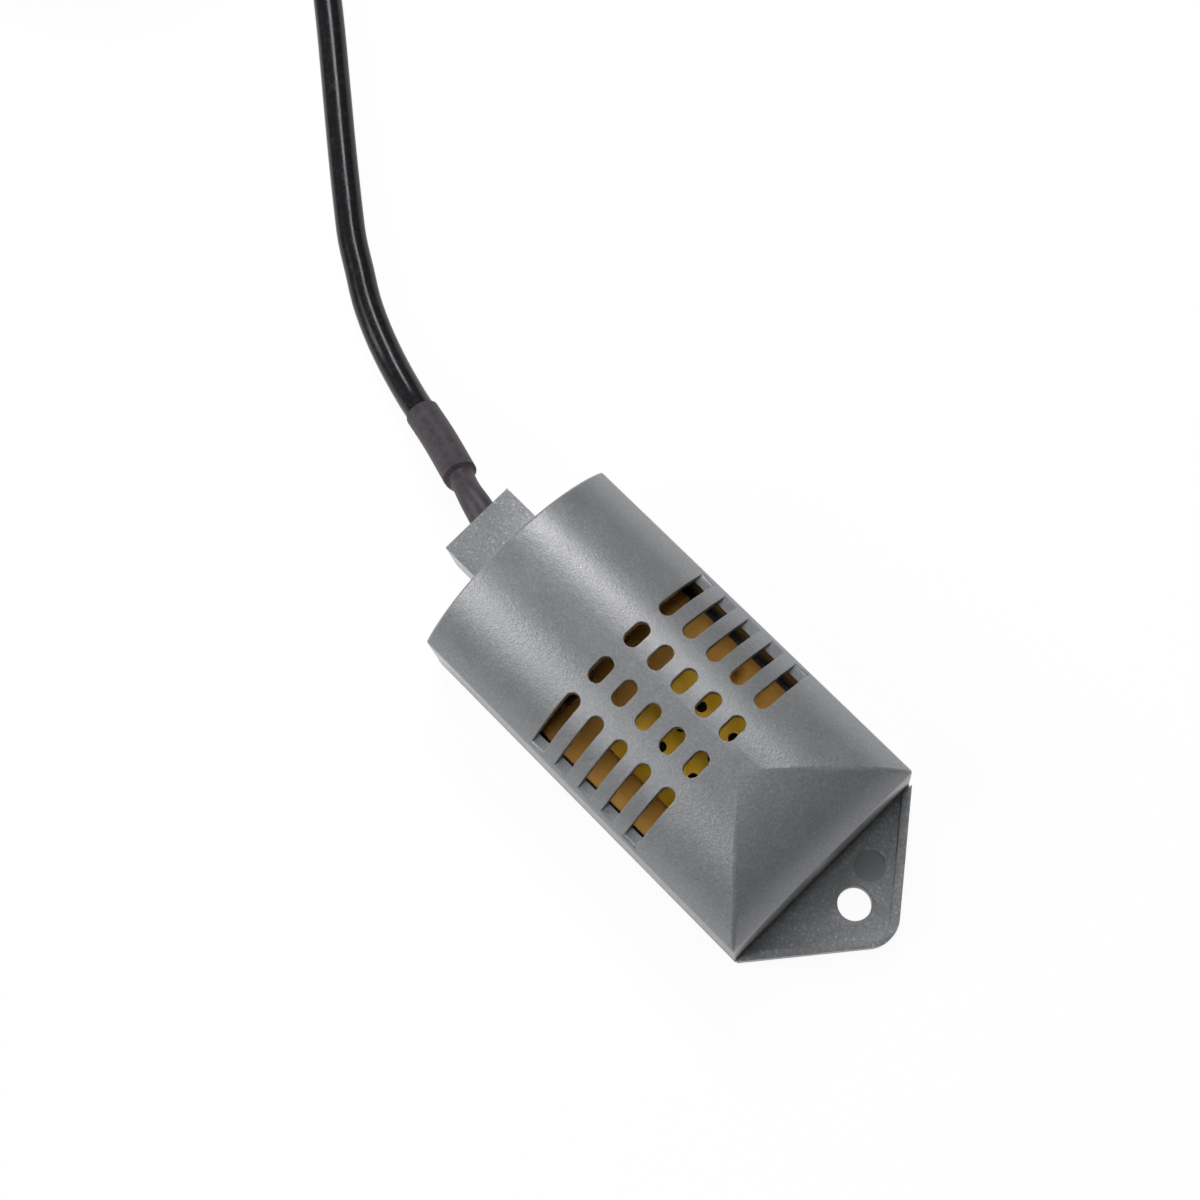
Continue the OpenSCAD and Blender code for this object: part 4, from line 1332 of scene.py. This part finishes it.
    def build_wires(self) -> None:
        """Builds the three cores from the sleeve's inner end to their pads, and the inner tie."""
        low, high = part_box("solder_joints")
        start = mm(*self.sleeve_route[0])
        run, drop = (low.x + high.x) / 2 - start.x, start.z - high.z
        stops = (
            (-0.15, 0, 0), (0, 0, 0), (0.1, 0, 0), (0.32, 0.15, 0.04), (0.6, 0.6, 0.2),
            (0.85, 0.93, 0.45), (1, 1, 0.75), (1, 1, 1), (1, 1, 1.25),
        )
        for side, node, finish in (
            (-1, "power_wire", "red"), (0, "ground_wire", "black"), (1, "signal_wire", "yellow"),
        ):
            a, b = start.y + side * self.core_pitch, side * self.pad_pitch
            points = [
                Vector((start.x + run * along, a + (b - a) * across, start.z - drop * down))
                for along, across, down in stops
            ]
            wire = swept_tube(smooth_route(points, 0.2 * MM), lambda s, t: self.wire_r, 20, node + "_core")
            dress(wire, finish, [node])
        rounded("inner_cable_tie", "block_tie", self.block_tie_edge, "nylon", "nylon")


# Studio


@dataclass(frozen=True)
class SoftLight:
    """A rectangular soft lamp that looks at the case."""

    name: str
    direction: Point
    size: tuple[float, float]
    power: float
    mirrored: bool = True
    distance: float = 0.7
    colour: Rgb = (0.985, 0.975, 1.0)

    def build(self, target: Vector) -> None:
        """Hangs the lamp."""
        data = bpy.data.lights.new(self.name, "AREA")
        data.shape = "RECTANGLE"
        data.size, data.size_y = self.size
        data.energy, data.color = self.power, self.colour
        lamp = new_object(self.name, data)
        lamp.visible_glossy = self.mirrored
        away = Vector(self.direction).normalized()
        side = (Vector((1, 0, 0)) - away * away.x).normalized()
        turned = Matrix((side, away.cross(side), away)).transposed().to_4x4()
        lamp.matrix_world = Matrix.Translation(target + away * self.distance) @ turned


@dataclass
class Studio:
    """Camera, lamps, world and floor."""

    eye: Point = (36.508, -20.666, 262.396)
    target: Point = (-20.783, 5.002, 0.0)
    roll: float = -20.769
    clip: tuple[float, float] = (0.01, 20)
    lit_point: Point = (0, 0, 10)
    lens: float = 62.0
    sensor: float = 36.0
    ambient: float = 0.05
    ambient_colour: Rgb = (0.95, 0.98, 1)
    floor_half: float = 6.0
    floor_z: float = -0.05 * MM
    floor_white: float = 0.85
    floor_glow: float = 0.94
    floor_mirrored: float = 0.3
    lights: tuple[SoftLight, ...] = (
        SoftLight("key", (-0.42, 0.43, 0.68), (0.4, 0.13), 2.8),
        SoftLight("fill", (-0.50, -0.60, 0.62), (0.4, 0.34), 3.1),
        SoftLight("overhead", (-0.06, 0.1, 0.99), (0.27, 0.27), 2.2, mirrored=False),
    )

    def camera(self) -> None:
        """Sets the camera where the photograph was taken from."""
        data = bpy.data.cameras.new("camera")
        data.lens, data.sensor_width = self.lens, self.sensor
        data.clip_start, data.clip_end = self.clip
        made = new_object("camera", data)
        eye, target = mm(*self.eye), mm(*self.target)
        ahead = (target - eye).normalized()
        right = ahead.cross(Vector((0, 0, 1))).normalized()
        up = right.cross(ahead)
        a = math.radians(self.roll)
        x = math.cos(a) * right + math.sin(a) * up
        y = -math.sin(a) * right + math.cos(a) * up
        made.matrix_world = Matrix.Translation(eye) @ Matrix((x, y, -ahead)).transposed().to_4x4()
        bpy.context.scene.camera = made

    def whiten(
        self, owner: bpy.types.ID, kinds: Sequence[str], look: dict[str, object], **shares: float
    ) -> None:
        """Makes a world or material white for some kinds of ray, and gives it a plain look for the rest.

        Args:
            owner: The world or the material.
            kinds: Kinds of node for the plain look, the white and the output.
            look: The plain look's inputs.
            **shares: Share of white for each kind of ray, of which the largest counts.
        """
        owner.use_nodes = True
        graph = NodeGraph(owner.node_tree)
        path = graph.node("ShaderNodeLightPath")
        total: Socket | float = 0.0
        for kind, share in shares.items():
            ray = path.outputs[f"Is {kind} Ray"]
            part = graph.node("ShaderNodeMath", {"operation": "MULTIPLY"}, _0=ray, _1=share).outputs[0]
            total = graph.node("ShaderNodeMath", {"operation": "MAXIMUM"}, _0=total, _1=part).outputs[0]
        plain_look = graph.node(kinds[0], **look).outputs[0]
        white = graph.node(kinds[1], Color=(1, 1, 1)).outputs[0]
        mix = graph.node("ShaderNodeMixShader", _0=total, _1=plain_look, _2=white).outputs[0]
        graph.node(kinds[2], Surface=mix)

    def world(self) -> None:
        """Makes the world: white where the camera sees it, and a plain dim light for the rest."""
        world = bpy.data.worlds.new("studio")
        bpy.context.scene.world = world
        kinds = ("ShaderNodeBackground", "ShaderNodeBackground", "ShaderNodeOutputWorld")
        look = {"Color": self.ambient_colour, "Strength": self.ambient}
        self.whiten(world, kinds, look, Camera=1.0, Transmission=1.0)

    def floor(self) -> None:
        """Lays the pale floor, which shows white and keeps a faint shadow."""
        shape = bmesh.new()
        half, glow = self.floor_half, self.floor_glow
        edge = ((-half, -half), (half, -half), (half, half), (-half, half))
        shape.faces.new([shape.verts.new((x, y, self.floor_z)) for x, y in edge])
        floor = from_bmesh(shape, "floor", smooth=False)
        material = bpy.data.materials.new("pale_floor")
        kinds = ("ShaderNodeBsdfDiffuse", "ShaderNodeEmission", "ShaderNodeOutputMaterial")
        look = {"Color": (self.floor_white,) * 3}
        self.whiten(material, kinds, look, Camera=glow, Transmission=glow, Glossy=self.floor_mirrored)
        floor.data.materials.append(material)

    def build(self) -> None:
        """Sets up the whole studio."""
        self.camera()
        for light in self.lights:
            light.build(mm(*self.lit_point))
        self.world()
        self.floor()
        bpy.context.scene.view_settings.view_transform = "Standard"


def clear_defaults() -> None:
    """Removes whatever a new file holds besides the frame."""
    kept = {o.name for o in (*frame["nodes"].values(), *frame["bodies"].values())}
    for other in [o for o in bpy.data.objects if o.name not in kept]:
        bpy.data.objects.remove(other)


def main() -> None:
    """Builds the camera and the lead first, then the case and the board."""
    logging.basicConfig(level=logging.INFO, format="%(name)s: %(message)s")
    clear_defaults()
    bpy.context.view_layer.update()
    Studio().build()
    Lead().build()
    Casing().build()
    SensorBoard().build()


if __name__ == "__main__":
    main()
